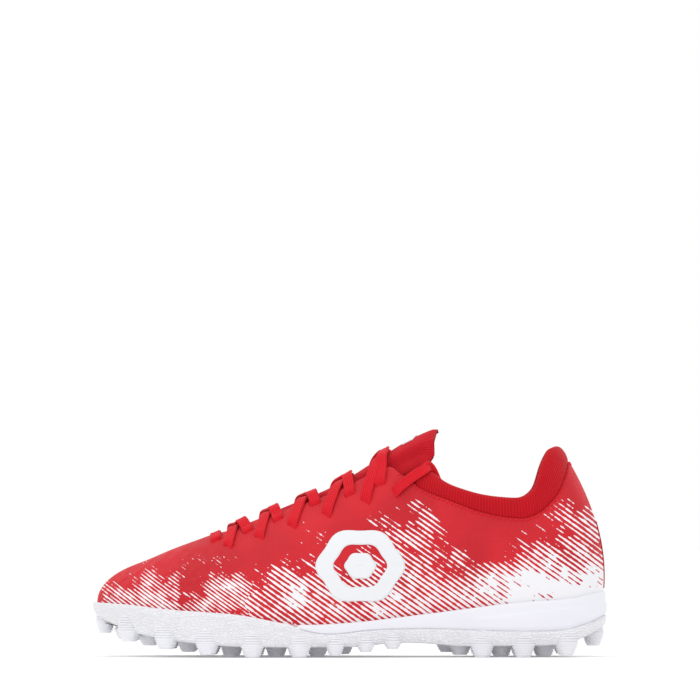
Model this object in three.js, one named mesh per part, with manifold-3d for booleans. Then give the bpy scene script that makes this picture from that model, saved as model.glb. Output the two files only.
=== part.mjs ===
// A left-foot soccer turf shoe, built from the pieces a cobbler would take it apart into.
//
// Frame: millimetres, +Z up, the ground at Z = 0, the toe towards -X, the lateral (outer) side towards -Y.
// Every upper piece lies on one surface, the last, at its own depth below it. The last is a ring of ribs.
// Each rib is a cubic curve that starts at the footbed's edge and ends at the rim, which is the ridge of the
// instep in front and a loop above the collar behind.
// A rib is found by its station, 0 at the heel to 13 at the toe, and its side.
import * as THREE from "three";
import { mergeVertices } from "three/addons/utils/BufferGeometryUtils.js";
import Module from "manifold-3d";

const wasm = await Module();
wasm.setup();

const LATERAL = -1;
const MEDIAL = 1;
const TOE = 13; // the last station
const RIBS = 26; // ribs from heel to toe on one side
const GAP = 0.35; // clearance between pieces that are glued or stitched face to face

// Depths of the upper's layers below the last's surface.
const SHELL_IN = 1.4;
const STIFFENER_OUT = SHELL_IN + GAP;
const TOE_PUFF_IN = 2.4;
const COUNTER_IN = 3.1;
const BACKER_OUT = 2.15;
const EYESTAY_IN = 2.55;
const LINING_OUT = 3.5;
const LINING_IN = 4.8;
const COLLAR_IN = 4.9;
const TONGUE_OUT = 4.6;
const TONGUE_CROWN = 0.8; // of the tongue's free top
const TONGUE_THICKNESS = 3;

const EDGE_INSET = 4.2; // the upper's lower edge, inside the sole's outline
const BOARD_THICKNESS = 1.4;

// The last, heel to toe. Edge: the sole's outline and the footbed's height.
// Rim: the rib's upper end, its half-width and its sideways shift.
// Shape: how far the rib rises and bulges from the edge, how far it reaches out of the rim, how far it falls
// there, and the ridge's slope.
const LAST = [
  { edge: [144, 0, 0, 20.5], rim: [117, 0, 120, 0], shape: [0.29, 8, 1.08, 0.36, 0] },
  { edge: [138.5, -19.5, 19.5, 20.3], rim: [114.5, 12, 120, 0], shape: [0.29, 7, 1.0, 0.36, 0] },
  { edge: [124, -31.5, 30.5, 19.7], rim: [106, 20.5, 119.5, 0], shape: [0.29, 5, 0.9, 0.34, 0] },
  { edge: [100, -36.5, 33.5, 18.5], rim: [92, 26, 119, 0], shape: [0.29, 4, 0.8, 0.33, 0] },
  { edge: [74, -37, 31.5, 17], rim: [76, 27, 119.5, 0], shape: [0.29, 3.5, 0.7, 0.3, 0] },
  { edge: [50, -37.5, 29, 15.8], rim: [61, 20, 122.5, 0], shape: [0.29, 3, 0.6, 0.15, 0.2] },
  { edge: [28, -39.5, 29.5, 15], rim: [50, 0, 129, 0], shape: [0.3, 2.5, 0.5, 0, 0.47] },
  { edge: [6, -43.5, 34, 14.3], rim: [20, 0, 115.3, 0], shape: [0.3, 2, 0.46, 0, 0.55] },
  { edge: [-18, -48, 41.5, 13.8], rim: [-8, 0, 98.3, 0.5], shape: [0.33, 2, 0.48, 0, 0.47] },
  { edge: [-44, -51, 48.5, 13.5], rim: [-40, 0, 84.6, 1.5], shape: [0.36, 2, 0.52, 0, 0.43] },
  { edge: [-72, -49, 51, 13.8], rim: [-74, 0, 70, 3], shape: [0.4, 2, 0.55, 0, 0.4] },
  { edge: [-99, -41, 48, 15.3], rim: [-98, 0, 61, 5], shape: [0.45, 3, 0.58, 0, 0.4] },
  { edge: [-124, -25.5, 37.5, 18], rim: [-111, 0, 55.5, 6.5], shape: [0.5, 5, 0.68, 0, 0.37] },
  { edge: [-144, 9, 9, 21.5], rim: [-117, 0, 53, 7], shape: [0.5, 8, 0.76, 0, 0.33] },
];

// Heights along the shoe, as [x, z].
const SOLE_TOP = [
  [-144, 30.4], [-122, 29], [-103, 26.8], [-64, 24], [-50, 21.7], [-31, 18.5], [1, 19.5], [43, 24.3],
  [91, 30.3], [124, 33], [144, 37],
];
const PARTING = [
  [-30, 16.8], [-20, 13.9], [-8, 13.1], [12, 15.2], [43, 16], [91, 14.7], [120, 15.5], [136, 19.7],
  [144, 23.5],
];
const SOLE_BOTTOM = [
  [-144, 22], [-133, 17.5], [-122, 13.5], [-102, 9.8], [-83, 7.4], [-60, 6], [5, 6], [25, 8], [42, 7.8],
  [60, 6.3], [80, 6.2], [118, 7], [131, 10], [144, 16],
];
const LUG_BOTTOM = [
  [-144, 15], [-133, 11.8], [-122, 8.5], [-102, 4.6], [-83, 2], [-66, 0], [-28, 0], [-8, 1], [8, 3],
  [24, 4.6], [45, 4.6], [60, 1.5], [74, 0], [100, 0], [118, 0.8], [131, 3.6], [144, 9.5],
];
const SHELL_TOP = [
  [20, 104.6], [26, 104], [33, 99.5], [41, 93.5], [56, 87.4], [75, 80.6], [96, 77.4], [106, 80.5],
  [113, 86.5], [118, 93], [122, 103], [123.5, 109.6],
];
const COLLAR_TOP = [
  [40, 107], [47, 103.4], [52, 99.3], [59, 95.9], [74, 91.4], [90, 89.6], [97, 90.2], [101.5, 93],
  [104.3, 97], [106, 102], [108, 108], [111, 114.2], [113.5, 117.6], [117, 119.3],
];

// Cubic Hermite curve through [x, value] points, level beyond its ends.
function profile(points, x) {
  const last = points.length - 1;
  if (x <= points[0][0]) return points[0][1];
  if (x >= points[last][0]) return points[last][1];
  const i = points.findIndex(([px]) => px > x) - 1;
  const [x0, y0] = points[i];
  const [x1, y1] = points[i + 1];
  const slopeAt = (k) => {
    const a = points[Math.max(k - 1, 0)];
    const b = points[Math.min(k + 1, last)];
    return (b[1] - a[1]) / (b[0] - a[0]);
  };
  const span = x1 - x0;
  const t = (x - x0) / span;
  const rest = 1 - t;
  const first = rest * rest * (y0 * (1 + 2 * t) + slopeAt(i) * span * t);
  return first + t * t * (y1 * (1 + 2 * rest) - slopeAt(i + 1) * span * rest);
}

// One number of the last's table round the whole shoe: heel, lateral side, toe, medial side.
function ring(valueOf) {
  const lateral = LAST.map((row) => valueOf(row, LATERAL));
  const medial = LAST.slice(1, -1).map((row) => valueOf(row, MEDIAL));
  return [...lateral, ...medial.reverse()];
}
const EDGE_X = ring((row) => row.edge[0]);
const EDGE_Y = ring((row, side) => (side === LATERAL ? row.edge[1] : row.edge[2]));
const BED_Z = ring((row) => row.edge[3]);
const RIM_X = ring((row) => row.rim[0]);
const RIM_HALF = ring((row, side) => side * row.rim[1]);
const RIM_Z = ring((row) => row.rim[2]);
const RIM_SHIFT = ring((row) => row.rim[3]);
const SHAPE = [0, 1, 2, 3, 4].map((k) => ring((row) => row.shape[k]));

// Closed Catmull-Rom curve through evenly numbered values.
function catmullRom(values, at) {
  const n = values.length;
  const i = Math.floor(at);
  const t = at - i;
  const [a, b, c, d] = [-1, 0, 1, 2].map((k) => values[(((i + k) % n) + n) % n]);
  const cubic = -a + 3 * b - 3 * c + d;
  return 0.5 * (2 * b + (c - a) * t + (2 * a - 5 * b + 4 * c - d) * t * t + cubic * t * t * t);
}
const ringPlace = (side, station) => (side === LATERAL ? station : 2 * TOE - station);

// The sole's outline in plan, moved outwards by outset.
function outline(side, station, outset, z) {
  const at = ringPlace(side, station);
  const step = 0.01;
  const tx = catmullRom(EDGE_X, at + step) - catmullRom(EDGE_X, at - step);
  const ty = catmullRom(EDGE_Y, at + step) - catmullRom(EDGE_Y, at - step);
  const length = Math.hypot(tx, ty);
  const out = new THREE.Vector3(-ty / length, tx / length, 0);
  const edge = new THREE.Vector3(catmullRom(EDGE_X, at), catmullRom(EDGE_Y, at), z);
  return edge.addScaledVector(out, outset);
}

// A point of the last: v runs from 0 at the footbed's edge to 1 at the rim.
function lastPoint(side, station, v) {
  const at = ringPlace(side, station);
  const bed = catmullRom(BED_Z, at);
  const base = outline(side, station, -EDGE_INSET, bed);
  const half = catmullRom(RIM_HALF, at);
  const away = side === LATERAL ? Math.min(half, 0) : Math.max(half, 0);
  const rimY = (station >= 6 ? 0 : station === 0 ? half : away) + catmullRom(RIM_SHIFT, at);
  const rim = new THREE.Vector3(catmullRom(RIM_X, at), rimY, catmullRom(RIM_Z, at));
  const [rise, bulge, reach, fall, slope] = SHAPE.map((column) => catmullRom(column, at));
  const height = rim.z - base.z;
  const lower = outline(side, station, bulge - EDGE_INSET, bed + rise * height);
  const upper = base.clone().sub(rim).multiplyScalar(reach).add(rim);
  upper.z = rim.z - fall * height + slope * (upper.x - rim.x);
  const w = 1 - v;
  const p = base.multiplyScalar(w * w * w).addScaledVector(lower, 3 * w * w * v);
  return p.addScaledVector(upper, 3 * w * v * v).addScaledVector(rim, v * v * v);
}

function lastNormal(side, station, v) {
  const step = 0.004;
  const [v0, v1] = [Math.max(v - step, 0), Math.min(v + step, 1)];
  const along = lastPoint(side, station + step, v).sub(lastPoint(side, station - step, v));
  const up = lastPoint(side, station, v1).sub(lastPoint(side, station, v0));
  return up.cross(along).multiplyScalar(side === LATERAL ? 1 : -1).normalize();
}
const onLast = (side, station, v, depth) =>
  lastPoint(side, station, v).addScaledVector(lastNormal(side, station, v), -depth);

// The v at which a rib reaches a height, given as a number or as a list of [x, z].
function vAtHeight(side, station, height) {
  let [low, high] = [0, 1];
  for (let k = 0; k < 30; k++) {
    const mid = (low + high) / 2;
    const p = lastPoint(side, station, mid);
    const target = Array.isArray(height) ? profile(height, p.x) : height;
    if (p.z < target) low = mid;
    else high = mid;
  }
  return (low + high) / 2;
}

// The v at a distance from the rim, measured along the rib.
function vFromRim(side, station, distance) {
  const step = 0.01;
  let v = 1;
  let here = lastPoint(side, station, v);
  for (let gone = 0; v > step; v -= step) {
    const next = lastPoint(side, station, v - step);
    gone += next.distanceTo(here);
    if (gone >= distance) return v - step + (step * (gone - distance)) / next.distanceTo(here);
    here = next;
  }
  return 0;
}

// ---- solids ----

function geometryOf(points, triangles) {
  const flat = new Float32Array(triangles.flat().flatMap((i) => points[i].toArray()));
  const geometry = new THREE.BufferGeometry();
  geometry.setAttribute("position", new THREE.BufferAttribute(flat, 3));
  return geometry;
}

function toSolid(geometry) {
  const plain = geometry.index ? geometry.toNonIndexed() : geometry;
  plain.deleteAttribute("normal");
  plain.deleteAttribute("uv");
  const merged = mergeVertices(plain, 1e-3);
  const kept = [];
  for (let i = 0; i < merged.index.count; i += 3) {
    const [a, b, c] = [0, 1, 2].map((k) => merged.index.getX(i + k));
    if (a !== b && b !== c && a !== c) kept.push(a, b, c);
  }
  const vertProperties = merged.attributes.position.array;
  return new wasm.Manifold(new wasm.Mesh({ numProp: 3, vertProperties, triVerts: new Uint32Array(kept) }));
}

function toGeometry(solid) {
  const { vertProperties, triVerts } = solid.getMesh();
  const geometry = new THREE.BufferGeometry();
  geometry.setAttribute("position", new THREE.BufferAttribute(new Float32Array(vertProperties), 3));
  geometry.setIndex(new THREE.BufferAttribute(new Uint32Array(triVerts), 1));
  return geometry;
}

const joined = (solids) => solids.reduce((all, next) => all.add(next));

// A layer of the upper: a sheet of last places, as rows of { side, station, v }, given two depths.
// closed joins each row's end to its start.
function layer(rows, outer, inner, closed = false) {
  const index = new Map();
  const seats = [];
  const seatOf = (place) => {
    const p = lastPoint(place.side, place.station, place.v);
    const key = p.toArray().map((x) => x.toFixed(2)).join();
    if (!index.has(key)) {
      index.set(key, seats.length);
      seats.push({ p, place, normal: new THREE.Vector3() });
    }
    const seat = seats[index.get(key)];
    seat.normal.add(lastNormal(place.side, place.station, place.v));
    return index.get(key);
  };
  const ids = rows.map((row) => row.map(seatOf));
  const sheet = [];
  for (let j = 0; j + 1 < ids.length; j++) {
    const count = ids[j].length;
    for (let i = 0; i < (closed ? count : count - 1); i++) {
      const [a, b] = [ids[j][i], ids[j][(i + 1) % count]];
      const [c, d] = [ids[j + 1][(i + 1) % count], ids[j + 1][i]];
      sheet.push([a, d, c], [a, c, b]);
    }
  }
  const faces = sheet.filter(([a, b, c]) => a !== b && b !== c && a !== c);
  const depthOf = (depth, place) => (typeof depth === "function" ? depth(place) : depth);
  const seatAt = ({ p, place, normal }, depth) =>
    p.clone().addScaledVector(normal.clone().normalize(), -depthOf(depth, place));
  const points = [outer, inner].flatMap((depth) => seats.map((seat) => seatAt(seat, depth)));
  const n = seats.length;
  const edges = new Set(faces.flatMap(([a, b, c]) => [a + "," + b, b + "," + c, c + "," + a]));
  const walls = [...edges].flatMap((edge) => {
    const [a, b] = edge.split(",").map(Number);
    return edges.has(b + "," + a) ? [] : [[b, a, a + n], [b, a + n, b + n]];
  });
  return geometryOf(points, [...faces, ...faces.map(([a, b, c]) => [c + n, b + n, a + n]), ...walls]);
}

// Places round the whole shoe, one per rib, at the v that vOf gives.
function aroundShoe(vOf) {
  const lateral = Array.from({ length: RIBS + 1 }, (_, i) => ({ side: LATERAL, station: (i * TOE) / RIBS }));
  const medial = lateral.slice(1, -1).reverse().map(({ station }) => ({ side: MEDIAL, station }));
  return [...lateral, ...medial].map((at) => ({ ...at, v: vOf(at.side, at.station) }));
}

const blend = (from, to, t) => from + (to - from) * t;
function rowsBetween(count, places, from, to) {
  const vAt = (side, station, t) => blend(from(side, station), to(side, station), t);
  const row = (t) => places.map(({ side, station }) => ({ side, station, v: vAt(side, station, t) }));
  return Array.from({ length: count + 1 }, (_, j) => row(j / count));
}

// Places along one side, and the same through the heel or through the toe to the other side.
const along = (side, from, to, count) =>
  Array.from({ length: count + 1 }, (_, i) => ({ side, station: blend(from, to, i / count) }));
const joinRows = (first, second) => [...first, ...second.slice(1)];
const heelWrap = (end, count) => joinRows(along(MEDIAL, end, 0, count), along(LATERAL, 0, end, count));
const toeWrap = (start, count) =>
  joinRows(along(LATERAL, start, TOE, count), along(MEDIAL, TOE, start, count));
const oneSide = (side, from, to, count) =>
  side === LATERAL ? along(side, from, to, count) : along(side, to, from, count);

// A closed solid from rings of points round the shoe, capped across the first and the last ring.
function ringSolid(rings) {
  const n = rings[0].length;
  const points = rings.flat();
  const triangles = [];
  for (let j = 0; j + 1 < rings.length; j++)
    for (let i = 0; i < n; i++) {
      const [a, b] = [j * n + i, j * n + ((i + 1) % n)];
      triangles.push([a, a + n, b + n], [a, b + n, b]);
    }
  const cap = (start, flip) => {
    for (let i = 0; i < n / 2; i++) {
      const [a, b] = [start + i, start + i + 1];
      const [c, d] = [start + ((n - i - 1) % n), start + ((n - i) % n)];
      const pair = [[a, b, c], [a, c, d]];
      triangles.push(...(flip ? pair.map((t) => t.reverse()) : pair));
    }
  };
  cap(0, false);
  cap((rings.length - 1) * n, true);
  return toSolid(geometryOf(points, triangles));
}
const heightOf = (height, x) => (Array.isArray(height) ? profile(height, x) : height);
const outlineRing = (outset, height, lift = 0) =>
  aroundShoe(() => 0).map(({ side, station }) => {
    const p = outline(side, station, outset, 0);
    p.z = heightOf(height, p.x) + lift;
    return p;
  });

// ---- sole unit ----

const WEB = 3; // the outsole's thickness between the lugs
const WALL = 4.8; // the sole's side walls, where they stand outside the midsole's core
const FORM_TOP = 0.5; // how far up the ribs the hollow for the upper is cut

// The space the upper and its board fill inside the sole.
function uppersRoom() {
  const floor = aroundShoe(() => 0).map(({ side, station }) => {
    const p = lastPoint(side, station, 0);
    p.z -= BOARD_THICKNESS + 2 * GAP;
    return p;
  });
  const levels = [0, 0.1, 0.2, 0.3, 0.4, FORM_TOP];
  const walls = levels.map((v) => aroundShoe(() => v).map((at) => onLast(at.side, at.station, at.v, -GAP)));
  return ringSolid([floor.map((p, i) => p.clone().setX(walls[0][i].x).setY(walls[0][i].y)), ...walls]);
}

// Halfway up the sole's wall.
const WALL_MIDDLE = SOLE_TOP.map(([x, z]) => [x, (z + profile(SOLE_BOTTOM, x)) / 2]);

function soleBody() {
  return ringSolid([
    outlineRing(-4, SOLE_BOTTOM),
    outlineRing(-1, SOLE_BOTTOM, 3),
    outlineRing(0.4, WALL_MIDDLE, -1),
    outlineRing(0.2, SOLE_TOP, -5),
    outlineRing(-0.4, SOLE_TOP, -0.8),
    outlineRing(-1.4, SOLE_TOP),
  ]);
}

// The midsole's space: a core inside the side walls, and behind MIDSOLE_FRONT all above the parting line.
const MIDSOLE_FRONT = -31;
function midsoleRoom(clearance) {
  const core = ringSolid([
    outlineRing(-WALL - clearance, SOLE_BOTTOM, WEB + clearance),
    outlineRing(-WALL - clearance, SOLE_TOP, -2 * GAP - clearance - 4),
  ]);
  const xs = Array.from({ length: 13 }, (_, i) => MIDSOLE_FRONT + clearance + i * 15);
  const shape = new THREE.Shape([
    ...xs.map((x) => new THREE.Vector2(x, profile(PARTING, x) + clearance)),
    new THREE.Vector2(xs[12], 60),
    new THREE.Vector2(xs[0], 60),
  ]);
  const block = new THREE.ExtrudeGeometry(shape, { depth: 200, bevelEnabled: false });
  block.rotateX(Math.PI / 2).translate(0, 100, 0);
  return core.add(toSolid(block));
}

// Lugs, by x: rows along both edges, which climb the side wall, and staggered rows between them.
const EDGE_LUGS = [-123, -102, -79, -54, -28, 74, 97, 121];
const SMALL_EDGE_LUGS = [-8, 9, 24];
const INNER_LUGS = [-112, -90, -66, -41, -18, 62, 85, 109];
const CENTRE_LUGS = [-126, -101, -78, -53, -29, -4, 55, 74, 97, 122];
const LUG_WIDTH = 13.5; // across, at the web
const LUG_FLAT = 8.6; // across the flat that meets the ground
const LUG_SIDES = 6;
const LUG_STANDS_OUT = 1.6; // an edge lug, out of the side wall

// The sole's outline across one x, as [lateral y, medial y].
function widthAt(x) {
  return [LATERAL, MEDIAL].map((side) => {
    let [low, high] = [0, TOE];
    for (let k = 0; k < 24; k++) {
      const mid = (low + high) / 2;
      if (outline(side, mid, 0, 0).x > x) low = mid;
      else high = mid;
    }
    return outline(side, low, 0, 0).y;
  });
}

function lug(x, y, size, climb) {
  const bottom = Math.max(profile(LUG_BOTTOM, x), 0);
  const web = profile(SOLE_BOTTOM, x) + 0.5;
  const [foot, waist] = [(LUG_FLAT * size) / 2, (LUG_WIDTH * size) / 2];
  const shoulder = [waist * 0.85, web + climb / 2];
  const section = [[0, bottom], [foot, bottom], [waist, web], shoulder, [0, web + climb]];
  const turned = new THREE.LatheGeometry(section.map(([r, z]) => new THREE.Vector2(r, z)), LUG_SIDES);
  turned.rotateX(Math.PI / 2).translate(x, y, 0);
  return toSolid(turned);
}

function lugs() {
  const found = [];
  const row = (xs, share, size, climb) => {
    for (const x of xs) {
      const [lateral, medial] = widthAt(x);
      const middle = (lateral + medial) / 2;
      const half = (medial - lateral) / 2 - (LUG_WIDTH * size) / 2 + LUG_STANDS_OUT;
      found.push(lug(x, middle + share * half, size, climb));
      if (share > 0) found.push(lug(x, middle - share * half, size, climb));
    }
  };
  row(EDGE_LUGS, 1, 1, 11);
  row(SMALL_EDGE_LUGS, 1, 0.75, 7);
  row(INNER_LUGS, 0.5, 0.95, 2);
  row(CENTRE_LUGS, 0, 0.95, 2);
  return joined([...found, lug(-137.5, 8.5, 0.8, 8), lug(137, 0, 0.9, 8)]);
}

const groundContact = () => soleBody().add(lugs());

// ---- pieces ----

const board = () => {
  const ringAt = (lift) =>
    aroundShoe(() => 0).map(({ side, station }) => {
      const p = outline(side, station, -EDGE_INSET - 0.6, 0);
      p.z = lastPoint(side, station, 0).z + lift;
      return p;
    });
  return ringSolid([ringAt(-BOARD_THICKNESS - GAP), ringAt(-GAP)]);
};

// The sockliner lies on the board inside the lining.
function sockliner(from, to, inset) {
  const ringAt = (lift) =>
    aroundShoe(() => 0).map(({ side, station }) => {
      const p = outline(side, station, -EDGE_INSET - inset, 0);
      p.z = lastPoint(side, station, 0).z + lift;
      return p;
    });
  return ringSolid([ringAt(from), ringAt(to)]);
}

const shifted = (points, lift) => points.map(([x, z]) => [x, z + lift]);

const THROAT_END = 10.3; // the station of the throat's toe end
const LOBE = 6.7; // the station of the eyestay's upper end
// From the ridge to an edge, along the surface, from the lobe to the throat's end.
const taper = (atLobe, atEnd) => (station) => blend(atLobe, atEnd, (station - LOBE) / (THROAT_END - LOBE));
const throatHalf = taper(19, 9);
const tongueHalf = taper(31, 25);
const liningEdge = taper(46, 33);
const backerEdge = taper(48, 36);

// How far up each rib the shell goes: the collar seam, the throat's edge, or the ridge itself over the toe.
function shellTop(side, station, drop = 0) {
  if (station <= LOBE) return vAtHeight(side, station, shifted(SHELL_TOP, -drop));
  const shut = THREE.MathUtils.smoothstep(station, THROAT_END - 0.5, THROAT_END);
  const distance = throatHalf(station) * (1 - shut) + drop * (shut < 1 ? 1 : 0);
  return distance < 0.5 ? 1 : vFromRim(side, station, distance);
}

// Each of the next pieces can be asked for grown by a margin, which is then cut from its neighbours.
function upperShell(margin = 0) {
  const top = (side, station) => shellTop(side, station, -margin);
  return toSolid(layer(rowsBetween(8, aroundShoe(() => 0), () => 0, top), -margin, SHELL_IN + margin, true));
}

const LINING_START = 0.02;
function upperLining(margin = 0) {
  const top = (side, station) => {
    if (station <= 5.5) return shellTop(side, station, 1 - margin);
    if (station < THROAT_END + 0.4) return vFromRim(side, station, liningEdge(station) - margin);
    return shellTop(side, station);
  };
  const rows = rowsBetween(5, aroundShoe(() => 0), () => LINING_START - margin / 50, top);
  return toSolid(layer(rows, LINING_OUT - margin, LINING_IN + margin, true));
}

function toePuff() {
  const rows = rowsBetween(4, toeWrap(11, 4), () => 0.08, (side, station) => vFromRim(side, station, 8));
  return toSolid(layer(rows, STIFFENER_OUT + 0.15, TOE_PUFF_IN));
}

const COUNTER_TOP = 66; // at the heel; the counter's upper edge falls towards its ends
const counterEdge = (side, station) => vAtHeight(side, station, COUNTER_TOP - station * station);
const heelCounter = () =>
  toSolid(layer(rowsBetween(4, heelWrap(3.5, 7), () => 0.06, counterEdge), STIFFENER_OUT, COUNTER_IN));

function eyestayBacker(side) {
  const places = oneSide(side, 7.05, 10.5, 7);
  const edgeAt = (distance) => (s, station) => vFromRim(s, station, distance(station));
  const rows = rowsBetween(3, places, edgeAt(backerEdge), edgeAt((station) => throatHalf(station) - 0.5));
  return toSolid(layer(rows, BACKER_OUT, EYESTAY_IN));
}

// ---- the collar ----

const COLLAR_END = 6; // the station of the collar's front ends
const collarBottom = (side, station) => vAtHeight(side, station, shifted(SHELL_TOP, GAP));
const collarTop = (drop) => (side, station) => vAtHeight(side, station, shifted(COLLAR_TOP, -drop));

function collarFoam(side, clearance) {
  const below = (s, station) => vAtHeight(s, station, shifted(SHELL_TOP, -2));
  const ends = oneSide(side, 1.2 + clearance / 10, 5.5 - clearance / 10, 12);
  const rows = rowsBetween(2, ends, clearance ? collarBottom : below, collarTop(2.2 + clearance));
  return toSolid(layer(rows, 1.5 + clearance, 3.8 - clearance));
}

// The collar is a folded band: open below, between its two faces, where the foam is pushed in.
function collarKnit() {
  const band = layer(rowsBetween(3, heelWrap(COLLAR_END, 12), collarBottom, collarTop(0)), 0.3, COLLAR_IN);
  const pockets = joined([LATERAL, MEDIAL].map((side) => collarFoam(side, 0)));
  return toSolid(band).subtract(pockets);
}

// ---- the tongue ----

const TAB_STATION = 6.88; // where the free top starts

// Places across the ridge, from one wing to the other, each with its distance d from the ridge.
function acrossRidge(stations, reachOf, count) {
  const row = (side, share) =>
    stations.map((station) => {
      const d = share * reachOf(station);
      return { side, station, d, v: d < 0.01 ? 1 : vFromRim(side, station, d) };
    });
  const shares = Array.from({ length: count + 1 }, (_, k) => 1 - k / count);
  const medial = shares.slice(0, -1).reverse();
  return [...shares.map((share) => row(LATERAL, share)), ...medial.map((share) => row(MEDIAL, share))];
}
const stationsFrom = (from, to, count) =>
  Array.from({ length: count + 1 }, (_, i) => blend(from, to, i / count));

// The laces press the tongue down below its free top.
const tongueCrown = (station) => blend(1.5, 2.2, THREE.MathUtils.smoothstep(station, TAB_STATION, 7.4));

function tongueDepth({ station, d }) {
  const covered = Math.max(
    THREE.MathUtils.smoothstep(d, throatHalf(station) - 7, throatHalf(station) - 1),
    THREE.MathUtils.smoothstep(station, THROAT_END - 1.1, THROAT_END - 0.6),
  );
  return blend(tongueCrown(station), TONGUE_OUT, covered);
}
const tongueInside = (place) => tongueDepth(place) + TONGUE_THICKNESS;

const tabReach = (station) => 3 + 13 * Math.sin((Math.min((station - 6) / 0.25, 1) * Math.PI) / 2);
const TAB_STATIONS = [6.03, 6.08, 6.16, 6.3, 6.5, 6.7, TAB_STATION];
function tongueTab(margin = 0) {
  const rows = acrossRidge(TAB_STATIONS, (station) => tabReach(station) + margin, 4);
  return toSolid(layer(rows, TONGUE_CROWN - margin, TONGUE_CROWN + TONGUE_THICKNESS + margin));
}

// The room the tongue's free top sweeps as it folds forward about its root.
const FOLD = { x: 23.8, z: 116.5, degrees: 35 };
function foldRoom() {
  const top = tongueTab(GAP).translate([-FOLD.x, 0, -FOLD.z]);
  const turns = Array.from({ length: 12 }, (_, i) => top.rotate([0, (-FOLD.degrees * i) / 11, 0]));
  return joined(turns).translate([FOLD.x, 0, FOLD.z]);
}
// The tongue's wing below its free top, which runs on inside the lobe to the collar's front end.
const WING_REACH = 28;
const WING_GAP = 3; // leaves the folding top its room
const WING_STATIONS = [6.12, 6.25, 6.45, 6.7, 6.92, 7.15];
function tongueWing(side) {
  const stations = side === LATERAL ? WING_STATIONS : [...WING_STATIONS].reverse();
  const row = (share) =>
    stations.map((station) => {
      const d = blend(WING_REACH, tabReach(station) + WING_GAP, share);
      return { side, station, d, v: vFromRim(side, station, d) };
    });
  return toSolid(layer([0, 0.25, 0.5, 0.75, 1].map(row), TONGUE_OUT, TONGUE_OUT + TONGUE_THICKNESS));
}

function tongueKnit() {
  const rows = acrossRidge(stationsFrom(TAB_STATION + 0.04, THROAT_END + 0.1, 12), tongueHalf, 6);
  return joined([toSolid(layer(rows, tongueDepth, tongueInside)), tongueWing(LATERAL), tongueWing(MEDIAL)]);
}

function tongueLabel() {
  const rows = acrossRidge(stationsFrom(6.42, 6.62, 2), () => 6, 2);
  return toSolid(layer(rows, -0.2, TONGUE_CROWN - GAP));
}

// ---- the lace ----

// Lace holes, as [x, z] on either side: the high hole takes the lace in and the low one lets it out.
const HOLES = [
  { high: [-74.5, 65], low: [-67.8, 61.9] },
  { high: [-56.3, 70], low: [-50.6, 66.7] },
  { high: [-39.7, 76.6], low: [-32.3, 73] },
  { high: [-18.8, 85.2], low: [-13.2, 79.3] },
  { high: [0.3, 90.3], low: [8.7, 86.6] },
  { high: [17.2, 95.9], low: [25, 91.7] },
];
const LACE_WIDTH = 5.6;
const LACE_THICK = 1.5;
const LACE_OVER = GAP + LACE_THICK / 2; // the lace's middle, above the shell
const LACE_UNDER = -(EYESTAY_IN + TONGUE_OUT) / 2;
const LACE_STEP = LACE_THICK + 0.4; // how far the upper of two crossing strands rides over the lower
const RIDGE_SLACK = 0.3; // the lace bridges the ridge a little above it
const STRAND = [0.08, 0.2, 0.38, 0.6, 0.84]; // where a strand is measured between its hole and the ridge
const TIP_LENGTH = 18;

// The place on a side with a given x and z.
function placeAt(side, [x, z]) {
  let [low, high] = [0, TOE];
  for (let k = 0; k < 24; k++) {
    const mid = (low + high) / 2;
    if (lastPoint(side, mid, vAtHeight(side, mid, z)).x > x) low = mid;
    else high = mid;
  }
  return { side, station: low, v: vAtHeight(side, low, z) };
}

// A lateral place's twin on a side: the same rib, as far from the ridge.
function twinOf(side, { station, v }) {
  let d = 0;
  const count = 20;
  for (let k = 0; k < count; k++) {
    const [a, b] = [blend(v, 1, k / count), blend(v, 1, (k + 1) / count)];
    d += lastPoint(LATERAL, station, a).distanceTo(lastPoint(LATERAL, station, b));
  }
  return { side, station, d, v: side === LATERAL ? v : vFromRim(side, station, d) };
}

// A point of the lace's middle line, lifted off the surface, with the surface's outward direction.
function laceMark(side, station, v, lift) {
  const out = lastNormal(side, station, v);
  if (v > 0.99) out.add(lastNormal(-side, station, v)).normalize();
  return { point: lastPoint(side, station, v).addScaledVector(out, lift), out };
}

// A strand's lift at a distance d from the ridge: it sinks to the tongue between the throat's edges.
function strandLift(station, d, onTop) {
  const sunk = LACE_THICK / 2 + 0.05 - tongueCrown(station);
  const lift = blend(sunk, LACE_OVER, THREE.MathUtils.smoothstep(d, 2, throatHalf(station) - 1.5));
  return onTop ? lift + LACE_STEP * (1 - THREE.MathUtils.smoothstep(d, 13, 18)) : lift;
}

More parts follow.
